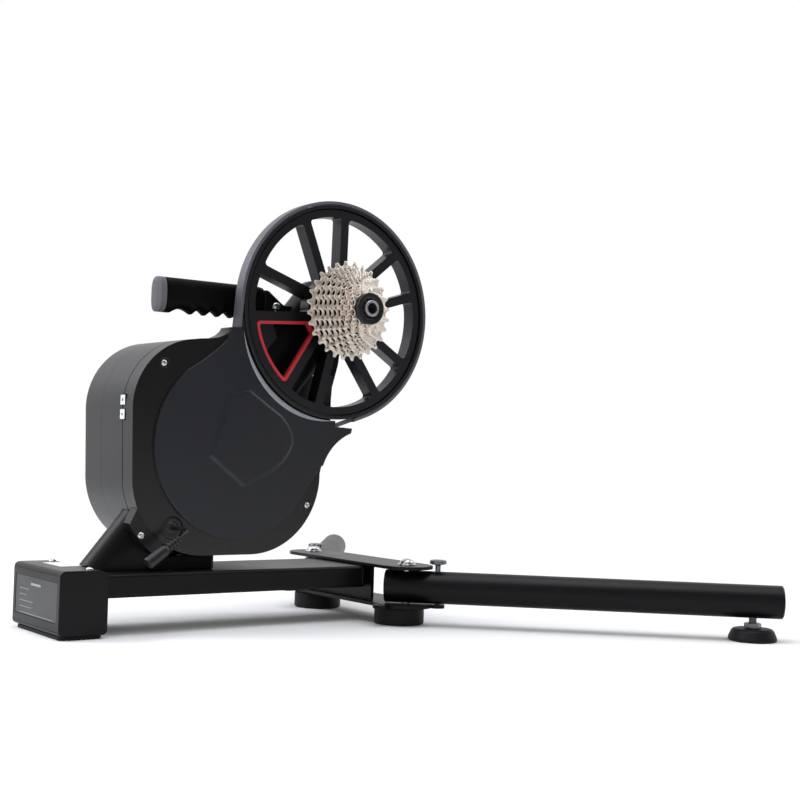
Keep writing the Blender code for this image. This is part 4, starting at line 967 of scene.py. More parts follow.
@dataclass
class Base:
    """Beam, rear foot block with its panel and sticker, and the pad under it."""

    beam_size: Pair = (110.0, 25.5)
    beam_middle: float = 52.85
    beam_ends: Pair = (5.3, 356.0)
    cap_flange: float = 5.2
    block_half: Pair = (27.0, 64.0)
    block_top: float = 71.3
    block_rounding: float = 4.5
    pad_height: float = 3.7
    pad_size: Pair = (48.0, 122.0)
    pad_grooves: int = 9
    groove_step: float = 5.4
    panel_size: Pair = (112.4, 41.4)
    panel_middle: float = 38.0
    sticker_size: Pair = (22.0, 50.0)
    sticker_place: Point = (4.0, 9.0)
    bolt_place: Point = (11.0, 50.0)

    def beam(self) -> None:
        """Flat tube with round corners, and the plug in its front end."""
        width, height = self.beam_size
        start, end = self.beam_ends
        outer = rectangle(height, width, 4.0, 8)
        inner = rectangle(height - 5, width - 5, 1.5, 4)
        at = (0, 0, self.beam_middle)
        beam = Blank(plate([outer, inner], start, end), Facing.FORWARD, at)
        beam.piece("beam", "root", "black_paint", POWDER_COAT, ["base_beam"])
        cap = Blank(plate([outer], end + GAP, end + GAP + self.cap_flange), Facing.FORWARD, at)
        cap.round_edges(1.6)
        plug = Blank(plate([rectangle(height - 5.6, width - 5.6, 1.5)], end - 10, end + 1),
                     Facing.FORWARD, at)
        cap.join(plug).piece("beam_plug", "root", "black_plastic", BLOCK_PLASTIC, ["beam_end_cap"])

    def block(self) -> None:
        """Moulded block over the beam's end, with a sloping front and a framed end panel."""
        half, wide = self.block_half
        low = self.pad_height + GAP
        side = rounded([(-half, low, 5), (half, low, 5), (half, 67.2, 1.5), (17, self.block_top, 3),
                        (-half, self.block_top, 6)])
        block = Blank(plate([side], -wide, wide), Facing.OUTBOARD)
        block.round_edges(self.block_rounding, 5, 50)
        width, height = self.beam_size
        way = rectangle(height + 2 * GAP, width + 2 * GAP, 4.2)
        pocket = plate([way], self.beam_ends[0] - GAP, 60)
        block.cut(Blank(pocket, Facing.FORWARD, (0, 0, self.beam_middle)))
        broad, tall = (size + 2 * GAP for size in self.panel_size)
        recess = plate([rectangle(tall, broad, 2.2)], -half - 2, -half + 1.5)
        block.cut(Blank(recess, Facing.FORWARD, (0, 0, self.panel_middle)))
        for z in (low + 4.5, self.block_top - 5.0):
            line = plate([rectangle(0.8, 2 * wide + 4, 0.3, 2)], -half - 1, -half + 0.6)
            block.cut(Blank(line, Facing.FORWARD, (0, 0, z)))
        block.piece("foot_block", "root", "black_plastic", BLOCK_PLASTIC, ["rear_foot_block"])

    def trim(self) -> None:
        """End panel, sticker, screws and the rubber pad."""
        half = self.block_half[0]
        panel = plate([rectangle(self.panel_size[1], self.panel_size[0], 2.0)], 0, 0.9)
        at = (0.3 - half, 0, self.panel_middle)
        Blank(panel, Facing.FORWARD, at).round_edges(0.25, 2).piece(
            "end_panel", "root", "black_paint", PANEL_INK, ["block_end_panel"])
        at = (*self.sticker_place, self.block_top + 0.02)
        sticker = Blank(plate([rectangle(*self.sticker_size, 1.5)], 0, 0.35), Facing.UP, at)
        sticker.piece("top_sticker", "root", "sticker", STICKER_FILM, ["block_top_sticker"])
        x, y = self.bolt_place
        for name, sign in (("right", -1), ("left", 1)):
            head = screw(4.2, 2.6, 2.5, Facing.UP, (x, sign * y, self.block_top))
            head.piece("block_bolt_" + name, "root", "steel", BRIGHT_STEEL, ["block_screw_" + name])
        pad = Blank(plate([rectangle(*self.pad_size, 8)], 0, self.pad_height)).round_edges(0.8)
        for k in range(self.pad_grooves):
            groove = plate([rectangle(3.0, self.pad_size[1] + 8, 0.6, 2)], -1, 0.8)
            place = (self.groove_step * (k - self.pad_grooves // 2), 0, 0)
            pad.cut(Blank(groove, Facing.UP, place))
        pad.piece("rear_pad", "root", "rubber", FOOT_RUBBER, ["rear_foot_pad"])

    def build(self) -> None:
        """Build the whole base."""
        self.beam()
        self.block()
        self.trim()


@dataclass
class MainTube:
    """Slanted oval tube with its bracket, support block and the brace at the hub."""

    slant: float = 50.6
    middle_y: float = -8.0
    width: float = 38.0
    depth: float = 82.0
    wall: float = 3.0
    low_end: float = -430.0
    beam_top: float = 65.6
    block_notch: Point = (27.4, 71.8)
    axle_hole: float = 12.3
    shaft_hole: float = 13.2
    clearance: float = 0.4
    saddle_depth: float = 16.0
    saddle_angles: Pair = (205.5, 236.0)
    saddle_front: float = 44.0
    support_top: float = 81.2
    brace_back: float = -14.6
    brace_front: float = -11.3

    def section(self, grow: float = 0.0) -> Outline:
        """Give the oval section, wider or narrower by a margin."""
        radius, flat = self.width / 2 + grow, (self.depth - self.width) / 2
        return arc((flat, 0), radius, -90, 90, 32) + arc((-flat, 0), radius, 90, 270, 32)

    def solid(self, grow: float, low: float, high: float) -> Blank:
        """Give a stretch of the tube as a solid, by heights along it from the hub."""
        turn = Euler((0, pi / 2 - radians(self.slant), 0)).to_matrix().to_4x4()
        at = (HUB[0], self.middle_y, HUB[1])
        return Blank(plate([self.section(grow)], low, high), at=at, turn=turn)

    def passage(self, grow: float) -> Blank:
        """Give the tube's way through other pieces, wider by a margin."""
        return self.solid(grow, self.low_end, self.depth / 2)

    def round_end(self, grow: float) -> Blank:
        """Give the solid that rounds the tube's upper end about the axle.

        Args:
            grow: How much wider than the tube it is.

        Returns:
            The solid.
        """
        radius, turn = self.depth / 2 + grow, radians(self.slant)
        across = Vector((-sin(turn), cos(turn))) * radius
        down = Vector((cos(turn), sin(turn))) * 2 * self.low_end
        outline = arc((0, 0), radius, self.slant - 90, self.slant + 90, 64)
        outline += [tuple(down + across), tuple(down - across)]
        return outboard(plate([outline], -80, 80), z=HUB[1])

    def tube(self) -> None:
        """Make the tube, round about the axle on top and cut flat on the beam."""
        tube = self.passage(0.0).keep_inside(self.round_end(0.0)).round_edges(1.6, 3, 55)
        hollow = self.solid(-self.wall, self.low_end - 10, self.depth / 2)
        tube.cut(hollow.keep_inside(self.round_end(-self.wall)))
        floor_cut = plate([rectangle(300, 100, 1)], -60, self.beam_top + GAP)
        tube.cut(Blank(floor_cut, Facing.UP, (60, 0, 0)))
        end, top = self.block_notch
        notch = plate([rectangle(120, 100, 1)], 0, top)
        tube.cut(Blank(notch, Facing.UP, (end - 60, 0, 0)))
        tube.cut(about_hub(bar(self.axle_hole, -30, 60), 64))
        sleeve = turned(bar(self.shaft_hole, -30, 60), 64)
        tube.cut(outboard(sleeve, *SHAFT))
        tube.piece("slanted_tube", "root", "black_paint", POWDER_COAT, ["main_tube"])

    def brackets(self) -> None:
        """Curved bracket at the casing's rear corner with its screw, and the support block."""
        outer, (start, end) = CASE_CORNER_RADIUS + self.saddle_depth, self.saddle_angles
        tip = arc(CASE_CORNER, outer, start, start, 1)[0]
        band = arc(CASE_CORNER, CASE_CORNER_RADIUS + GAP, start - 2, end, 30)
        band += arc(CASE_CORNER, outer, end, start + 4, 30) + [(tip[0] + 4.6, tip[1] - 7.6)]
        side = self.width / 2 - self.middle_y + self.clearance
        saddle = outboard(plate([band], side, self.saddle_front)).round_edges(0.8)
        saddle.piece("saddle", "root", "black_metal", DARK_STEEL, ["casing_saddle"])
        head = screw(4.0, 2.5, 2.5, Facing.OUTBOARD, (70.6, -self.saddle_front, 104.9))
        head.piece("saddle_bolt", "root", "steel", BRIGHT_STEEL, ["saddle_screw"])
        outline = [(89, -34), (163, -34), (169, -28), (169, 14), (137, 14), (137, -side),
                   (89, -side)]
        block = Blank(plate([outline], self.beam_top + GAP, self.support_top)).round_edges(1.0)
        block.piece("support_block", "root", "rubber", HANDLE_RUBBER, ["casing_support"])

    def brace(self) -> None:
        """Curved flat arm from the casing's side to an eye about the axle."""
        left = [(16.4, 236), (17.4, 263.4), (21.2, 281), (26.4, 298.6), (29.8, 311), (31.4, 322.6),
                (28, 338)]
        right = [(40, 350), (44.2, 336), (45.4, 322), (43.9, 309), (40.4, 296), (35.4, 278),
                 (31.4, 262), (30.6, 236)]
        outline = left + arc((0, HUB[1]), 20.0, 300, 20, 40) + right
        hole = circle(self.axle_hole, 64, (0, HUB[1]))
        arm = outboard(plate([outline, hole], self.brace_back, self.brace_front))
        arm.round_edges(0.6).piece("brace", "root", "black_paint", POWDER_COAT, ["hub_brace"])

    def build(self) -> None:
        """Build the tube and what is fixed to it."""
        self.tube()
        self.brackets()
        self.brace()


@dataclass
class CarryHandle:
    """Handle with a core from the tube, a rubber grip with finger grooves, a cap and a bolt."""

    tube: MainTube
    middle_y: float = -10.0
    outer: float = -210.1
    inner: float = -85.0
    grip_top: float = 390.5
    grip_bottom: float = 351.0
    half_width: float = 13.0
    groove_ends: tuple[float, ...] = (-202.4, -174.9, -157.7, -140.5, -123.3, -106.1, -88.9)
    groove_depth: float = 5.0
    sides: int = 56
    bore: Triple = (22.6, 14.6, 372.0)
    bar_half: float = 7.0
    arm_half: float = 10.0

    def ring(self, x: float, inset: float = 0.0, side_inset: float | None = None) -> list[Triple]:
        """Give the grip's oval section at a place along it.

        Args:
            x: The place, from the hub.
            inset: How much lower it is at the top and bottom.
            side_inset: How much narrower it is at the sides; the same if left out.

        Returns:
            The section's points.
        """
        bottom = self.grip_bottom
        for start, end in zip(self.groove_ends, self.groove_ends[1:]):
            if start < x < end:
                bottom += self.groove_depth * sin(pi * (x - start) / (end - start))
        middle = (self.grip_top + bottom) / 2
        half = (self.grip_top - bottom) / 2 - inset
        width = self.half_width - (inset if side_inset is None else side_inset)
        points = []
        for k in range(self.sides):
            across, up = cos(2 * pi * k / self.sides), sin(2 * pi * k / self.sides)
            reach = 1 / (abs(across) ** 3 + abs(up) ** 3) ** (1 / 3)
            points.append((x, self.middle_y + width * across * reach, middle + half * up * reach))
        return points

    def core(self) -> None:
        """Make the painted core and the bolt that holds it to the tube."""
        side = -self.middle_y
        long = [(self.outer, 361), (-76, 361), (-76, 383), (self.outer, 383)]
        mesh = plate([long], side - self.bar_half, side + self.bar_half)
        core = outboard(mesh).round_edges(3.0, 4, 60)
        outline = rounded([(-84.5, 357.5, 3), (-74, 350, 4), (-44, 350), (-44, 371.7),
                           (-57, 371.7, 6), (-78, 387, 5), (-84.5, 387)])
        mesh = plate([outline], side - self.arm_half, side + self.arm_half)
        arm = outboard(mesh).round_edges(3.0, 4, 60)
        core.join(arm).cut(self.tube.passage(GAP))
        core.piece("handle_arm", "root", "black_paint", POWDER_COAT, ["handle_core"])
        at = (HUB[0] - 68, self.middle_y - self.arm_half - 0.1, 367.5)
        head = screw(6.0, 4.2, 4.0, Facing.OUTBOARD, at)
        head.piece("handle_screw", "root", "steel", BRIGHT_STEEL, ["handle_bolt"])

    def grip(self) -> None:
        """Make the grip with sharp cusps between its finger grooves, and the cap on its end."""
        stations = [self.outer, self.outer + 1.2]
        for start, end in zip(self.groove_ends, self.groove_ends[1:]):
            stations += [start + (end - start) * k / 14 for k in range(14)]
        stations += [self.groove_ends[-1], self.inner]
        insets = [1.2] + [0.0] * (len(stations) - 2) + [0.8]
        at = (HUB[0], 0, 0)
        grip = Blank(loft([self.ring(x, inset) for x, inset in zip(stations, insets)]), at=at)
        high, wide, z = self.bore
        centre = (HUB[0] + self.outer - 10, self.middle_y, z)
        grip.cut(Blank(plate([rectangle(high, wide, 2)], 0, 140), Facing.FORWARD, centre))
        grip.piece("grip", "root", "rubber", HANDLE_RUBBER, ["handle_grip"])
        start = self.outer - GAP
        rings = [self.ring(start, 1.0), self.ring(start - 0.8, 0.0), self.ring(start - 6.8, 0.0),
                 self.ring(start - 7.4, 0.3, 0.5), self.ring(start - 9.5, 4.0, 7.2),
                 self.ring(start - 10, 4.8, 8.4)]
        cap = Blank(loft(rings), at=at)
        cap.piece("grip_cap", "root", "cap_plastic", CAP_PLASTIC, ["handle_end_cap"])

    def build(self) -> None:
        """Build the handle."""
        self.core()
        self.grip()


@dataclass
class PowerLead:
    """Pigtail: a grommet in the cover, a short cord that turns down, and a ribbed plug."""

    diameter: float = 4.0
    hole: Point = (109.0, 112.5)
    hole_radius: float = 12.6
    route: tuple[Triple, ...] = (
        (109.0, -43.3, 112.5), (109.0, -48.0, 112.5), (110.6, -54.0, 112.9), (113.0, -60.0, 112.9),
        (114.0, -65.5, 111.8), (112.0, -69.5, 109.4), (107.8, -70.8, 106.4), (104.0, -70.8, 103.7))
    plug_start: Triple = (103.75, -70.8, 103.52)
    plug_direction: Triple = (-0.815, 0.0, -0.579)
    ribs: int = 4
    rib_step: float = 4.2

    def plug(self) -> list[bpy.types.Object]:
        """Make the plug with its ribs, and the bright contact in its end.

        Returns:
            The plug and the contact.
        """
        profile = [(0, GAP), (2.9, GAP), (3.4, 0.8)]
        for k in range(self.ribs):
            low, size = 1.5 + self.rib_step * k, 4.2 + 0.4 * k
            profile += [(size - 0.9, low), (size - 0.2, low + 0.1), (size, low + 0.4),
                        (size, low + 2.2), (size - 0.25, low + 2.6), (size - 0.9, low + 2.8),
                        (size - 0.9, low + 3.9)]
        profile += [(5.6, 19.5), (6.2, 21.0), (6.5, 22.6), (6.5, 44.6), (6.1, 45.6), (5.6, 46.0),
                    (4.6, 46.0), (4.2, 45.6), (4.2, 37.0), (0, 37.0)]
        turn = Vector(self.plug_direction).to_track_quat("Z", "Y").to_matrix().to_4x4()
        body = Blank(turned(profile, 64), at=self.plug_start, turn=turn)
        plug = body.piece("lead_plug", "root", "rubber", PLUG_RUBBER, ["power_plug"])
        sleeve = [(2.9, 37.1), (3.9, 37.1), (3.9, 44.8), (3.6, 45.2), (2.9, 45.2)]
        ring = Blank(turned(sleeve, 48), at=self.plug_start, turn=turn)
        return [plug, ring.piece("plug_contact", "root", "steel", BRIGHT_STEEL)]

    def build(self) -> None:
        curve = bpy.data.curves.new("lead", "CURVE")
        curve.dimensions = "3D"
        curve.bevel_depth = MM * self.diameter / 2
        curve.bevel_resolution = 8
        curve.use_fill_caps = True
        points = [point * MM for point in smooth_line(self.route, 6)]
        spline = curve.splines.new("POLY")
        spline.points.add(len(points) - 1)
        for target, point in zip(spline.points, points):
            target.co = (*point, 1.0)
        spline.use_smooth = True
        curve.materials.append(PLUG_RUBBER.material())
        cord = new_object("lead", curve)
        settle(cord, "root", ["power_cord"])
        self.plug()
        x, z = self.hole
        edge = self.hole_radius - GAP
        grommet = [(0, 38.0), (edge, 38.0), (edge, 41.1), (edge - 0.4, 41.5), (9.0, 41.6),
                   (8.2, 41.2), (7.6, 41.4), (5.8, 43.2), (4.4, 43.6), (2.6, 43.6), (2.4, 42.6),
                   (0, 42.6)]
        disc = outboard(turned(grommet, 96), x, z)
        disc.piece("grommet", "root", "rubber", PLUG_RUBBER, ["cord_grommet"])


@dataclass
class Casing:
    """Three moulded shells about the flywheel, with screws and status windows.

    Places are measured from the hub along X, and from the floor along Z.
    """

    tube: MainTube
    left: float = -257.0
    top: float = 321.5
    bottom: float = 81.5
    wall: float = 2.5
    top_radius: float = 78.0
    low_radius: float = 91.0
    low_middle: float = -105.0
    front: float = 46.0
    low_front: float = 43.0
    seam: float = 18.0
    seam_groove: float = 0.9
    rear_seam: float = -36.0
    back: float = -82.0
    wheel_cutout: float = 135.5
    rear_cutout: float = 76.0
    field_centre: Point = (-125.0, 205.0)
    field_radius: float = 106.0
    hollow_centre: Point = (49.0, 162.5)
    hollow_radius: float = 64.3
    hook: tuple[Point, ...] = ((-139.6, 338.0), (-142.0, 333.6), (-147.0, 329.2), (-155.0, 325.4),
                               (-166.0, 323.4), (-178.0, 322.4))
    lip_radius: float = 128.8
    lip_angles: Pair = (-88.5, -168.0)
    bevel: Triple = (-14.5, 347.5, 111.5)
    screws: tuple[tuple[str, float, float], ...] = (("upper", -221.0, 292.6),
                                                    ("lower", -30.0, 137.0))
    far_screws: tuple[Point, ...] = ((-205.0, 262.0), (-205.0, 146.0), (-62.0, 128.0),
                                     (-104.0, 306.0))
    far_rings: Point = (92.0, 46.0)
    windows: tuple[tuple[str, float], ...] = (("upper", 251.0), ("lower", 235.3))
    lens_size: Pair = (11.2, 12.2)
    frame_size: float = 13.2

    def left_side(self, start: float) -> Outline:
        """Give the shells' shared outline, from a direction at the top left to the right side."""
        upper, lower = self.top_radius, self.low_radius
        points = arc((self.left + upper, self.top - upper), upper, start, 180, 36)
        points += arc(CASE_CORNER, CASE_CORNER_RADIUS, 180, 270, 36)
        return points + arc((self.low_middle, self.bottom + lower), lower, 270, 355, 36)

    def cover_outline(self) -> Outline:
        """Give the drive cover's outline, with the hollow about the wheel and the neck."""
        points = self.left_side(95) + arc(self.hollow_centre, self.hollow_radius, 168.8, 110.1, 20)
        points += [(28.3, 228.9)] + arc((0, HUB[1]), self.wheel_cutout, -89.6, -168.2, 72)
        return points + list(self.hook)

    def rear_outline(self) -> Outline:
        """Give the middle and far shells' outline, which reach in behind the wheel."""
        points = self.left_side(90) + arc(self.hollow_centre, self.hollow_radius, 168.8, 121, 16)
        level = degrees(asin((HUB[1] - self.top) / self.rear_cutout))
        return points + [(15.0, 262.0)] + arc((0, HUB[1]), self.rear_cutout, -77, level - 180, 40)

    def guard_outline(self) -> Outline:
        """Give the middle band's raised guard behind the wheel, beside the tube."""
        points = arc((0, HUB[1]), self.rear_cutout, 212, 192, 12)
        return points + [(-96.0, 348.5), (-112.0, 334.0), (-118.0, 316.0), (-70.0, 316.0)]

    def lowered_zone(self) -> Outline:
        """Give the outline of the cover's lowered rim, which passes outside the casing."""
        left, bottom = self.left - 40, self.bottom - 40
        points = [(-144.5, 336.0), (-144.5, 324.0), (-153.0, 315.4), (-161.7, 308.3),
                  (-176.5, 297.0)]
        points += arc(self.field_centre, self.field_radius, 129, 310, 80)
        return points + [(-14, 184), (30, 170), (30, bottom), (left, bottom), (left, 380),
                         (-150, 380)]

    def shell_mouth(self, flange: float) -> Outline:
        """Give the outline of the middle shell's open front, inside a flange."""
        upper, lower = self.top_radius, self.low_radius
        points = arc((self.left + upper, self.top - upper), upper - flange, 80, 180, 30)
        points += arc(CASE_CORNER, CASE_CORNER_RADIUS - flange, 180, 270, 30)
        points += arc((self.low_middle, self.bottom + lower), lower - flange, 270, 350, 30)
        points += arc(self.hollow_centre, self.hollow_radius + flange, 168.8, 125, 12)
        return points + arc((0, HUB[1]), self.wheel_cutout + flange + 2, -93, -160, 30)

    def round_hole(self, x: float, z: float, profile: Sequence[Point], segments: int = 64) -> Blank:
        """Give a turned cutter in the casing's plane."""
        return outboard(turned(profile, segments), HUB[0] + x, z)

    def shield(self) -> Blank:
        """Give the low plateau in the middle of the field, with soft slopes."""
        outline = [(-142.8, 262.0), (-155.0, 224.0), (-164.7, 194.2), (-164.0, 190.0),
                   (-120.4, 157.6), (-117.0, 157.4), (-83.0, 173.5)]
        outline += [(-66.5, 186.0), (-57.0, 199.0), (-53.1, 209.1), (-54.6, 220.0), (-60.0, 230.0),
                    (-69.5, 241.2), (-83.0, 249.4)]
        outline += [(-98.0, 259.2), (-112.9, 268.9), (-117.0, 269.6), (-139.8, 264.2)]
        bm = bmesh.new()
        draw_loop(bm, outline, 44.5)
        lid = draw_out(bm, bm.faces.new(bm.verts[:]), 1.5, keep=True)
        bmesh.ops.recalc_face_normals(bm, faces=bm.faces)
        steps, rise, width = 9, 1.5, 5.0
        for k in range(steps):
            low, high = (1 - cos(pi * k / steps)) / 2, (1 - cos(pi * (k + 1) / steps)) / 2
            inset_face(bm, lid, width / steps, rise * (high - low))
        return outboard(bm)

    def drive_cover(self, window_cuts: Callable[[], list[Blank]], slot: Outline,
                    inner_slot: Outline, cord_hole: Point) -> None:
        """Make the front shell.

        Args:
            window_cuts: Gives fresh cutters for the status windows.
            slot: Outer outline of the belt's slot.
            inner_slot: Inner outline of the belt's slot.
            cord_hole: Where the power lead's grommet sits.
        """
        floor_depth = self.front - self.low_front + self.wall
        cover = outboard(shell(self.cover_outline(), self.seam, self.front, self.wall,
                                 floor_depth, groove=self.seam_groove))
        cover.cut(outboard(plate([self.lowered_zone()], self.low_front, 52)))
        cover.round_edges(1.1, 3, 35)
        cover.cut(outboard(plate([slot, inner_slot], 32.2, 44.2)))
        hub, (start, end) = (0, HUB[1]), self.lip_angles
        lip = arc(hub, self.wheel_cutout + 2, start, end, 72)
        lip += arc(hub, self.lip_radius, end, start, 72)
        cover.join(outboard(plate([lip], self.front - 1.7, self.front)))
        x, z, reach = self.bevel
        slope = [(0, 38), (reach - 7.5, 38), (reach - 7.5, 44.4), (reach, 46), (reach + 1, 46.2),
                 (reach + 1, 55), (0, 55)]
        cover.cut(self.round_hole(x, z, slope, 288))
        x, z = cord_hole
        rim = [(0, 30), (12.6, 30), (12.6, 42.4), (13.4, 43.2), (13.4, 50), (0, 50)]
        cover.cut(self.round_hole(x - HUB[0], z, rim, 96))
        for _, x, z in self.screws:
            seat = [(0, 41.2), (4.9, 41.2), (5.3, 42.2), (6.3, 43.2), (6.3, 50), (0, 50)]
            cover.cut(self.round_hole(x, z, seat))
        for hole in window_cuts():
            cover.cut(hole)
        cover.cut(self.tube.passage(self.tube.clearance)).join(self.shield())
        cover.piece("front_shell", "root", "shell_plastic", CASING_PLASTIC, ["drive_cover"])

    def rear_shells(self, window_cuts: Callable[[], list[Blank]]) -> None:
        """Make the middle band, and the far shell with its ring grooves and screws."""
        outline = self.rear_outline()
        middle = outboard(shell(outline, self.rear_seam, self.seam - GAP, self.wall, self.wall))
        middle.cut(outboard(plate([self.shell_mouth(4.0)], self.seam - 6, self.seam + 2)))
        middle.join(outboard(plate([self.guard_outline()], self.seam - 4, self.seam + 7)))
        for hole in window_cuts():
            middle.cut(hole)
        middle.cut(self.tube.passage(self.tube.clearance)).round_edges(0.55, 2, 35)
        middle.piece("middle_band", "root", "shell_plastic", CASING_PLASTIC, ["middle_shell"])
        far = outboard(shell(outline, self.rear_seam - GAP, self.back, self.wall, self.wall, 3.5))
        x, z = self.field_centre
        for radius in self.far_rings:
            low, high = self.back - 2, self.back + 0.9
            ring = [(radius, low), (radius + 2.0, low), (radius + 2.0, high), (radius, high)]
            far.cut(self.round_hole(x, z, ring, 160))
        for sx, sz in self.far_screws:
            floor, mouth = self.back + 1.4, self.back - 2
            seat = [(0, floor), (6.0, floor), (7.0, mouth), (0, mouth)]
            far.cut(self.round_hole(sx, sz, seat, 48))
        far.round_edges(0.5, 2, 40)
        far.piece("far_shell", "root", "shell_plastic", CASING_PLASTIC, ["far_cover"])
        inboard = Euler((-pi / 2, 0, 0)).to_matrix().to_4x4()
        for k, (sx, sz) in enumerate(self.far_screws):
            head = [(0, 0), (4.6, 0), (4.6, 1.0), (3.4, 1.3), (0, 1.3)]
            cap = Blank(turned(head, 40), at=(HUB[0] + sx, -self.back - 1.35, sz), turn=inboard)
            cap.piece("far_screw_" + str(k + 1), "root", "steel", DARK_STEEL)

    def fittings(self) -> None:
        """Make the cover screws, and the status windows in their dark frames."""
        for name, x, z in self.screws:
            head = screw(3.9, 2.3, 2.5, Facing.OUTBOARD, (HUB[0] + x, -41.2, z))
            head.piece("cover_bolt_" + name, "root", "steel", BRIGHT_STEEL, ["cover_screw_" + name])
        for name, z in self.windows:
            place = (HUB[0] + self.left - 0.2, -self.seam, z)
            lens = Blank(plate([rectangle(*self.lens_size, 0.9)], 0, 2.4), Facing.FORWARD, place)
            finish = LensFinish("lens_" + name, (222, 226, 230), 0.25, grain_depth=0.003, tone=0.05,
                                dust=0.0, middle_z=z)
            lens.round_edges(0.5, 3)
            lens.piece("lens_" + name, "root", "lens", finish, ["status_window_" + name])
            high, wide = (size + GAP for size in self.lens_size)
            loops = [rectangle(self.frame_size, self.frame_size, 1.6), rectangle(high, wide, 1.0)]
            rim = Blank(plate(loops, -0.3, 2.2), Facing.FORWARD, place).round_edges(0.3, 2)
            rim.piece("lens_frame_" + name, "root", "black_plastic", BLOCK_PLASTIC)

    def build(self, belt: "DriveBelt", lead: PowerLead) -> None:
        """Build the casing about the belt and the lead."""
        def window_cuts() -> list[Blank]:
            x, y, size = HUB[0] + self.left - 5, -self.seam, self.frame_size + 0.4
            return [Blank(plate([rectangle(size, size, 1.8)], 0, 10), Facing.FORWARD, (x, y, z))
                    for _, z in self.windows]
        self.drive_cover(window_cuts, belt.loop(5.5), belt.loop(-1.5), lead.hole)
        self.rear_shells(window_cuts)
        self.fittings()


@dataclass
class DriveBelt:
    """Flat belt round the wheel and the small pulley, narrower where it runs in the casing."""

    track_radius: float = 127.3
    ratio: float = 8.0
    thickness: float = 3.7
    low: float = 34.0
    high: float = 49.6
    inner_high: float = 43.6
    entry: Point = (28.0, 338.6)

    def loop(self, offset: float) -> Outline:
        """Give the belt's path, moved outward from the tracks by an offset."""
        wheel, small = self.track_radius + offset, self.track_radius / self.ratio + offset
        dx, dz = SHAFT[0] - HUB[0], SHAFT[1] - HUB[1]
        toward, spread = degrees(atan2(dz, dx)), degrees(acos((wheel - small) / hypot(dx, dz)))
        upper, lower = toward - spread, toward + spread
        path = arc((0, HUB[1]), wheel, lower, upper + 360, 240)
        return path + arc((dx, SHAFT[1]), small, upper, lower, 40)

    def build(self) -> None:
        """Build the belt."""
        loops = [self.loop(GAP + self.thickness), self.loop(GAP)]
        x, z = self.entry
        belt = outboard(plate(loops, self.low, self.high)).round_edges(0.4, 2)
        inside = plate([[(-300, 0), (x, 0), (x, z), (-300, z)]], self.inner_high, self.high + 5)
        belt.cut(outboard(inside))
        belt.piece("belt", "root", "belt", BELT_RUBBER, ["drive_belt"])


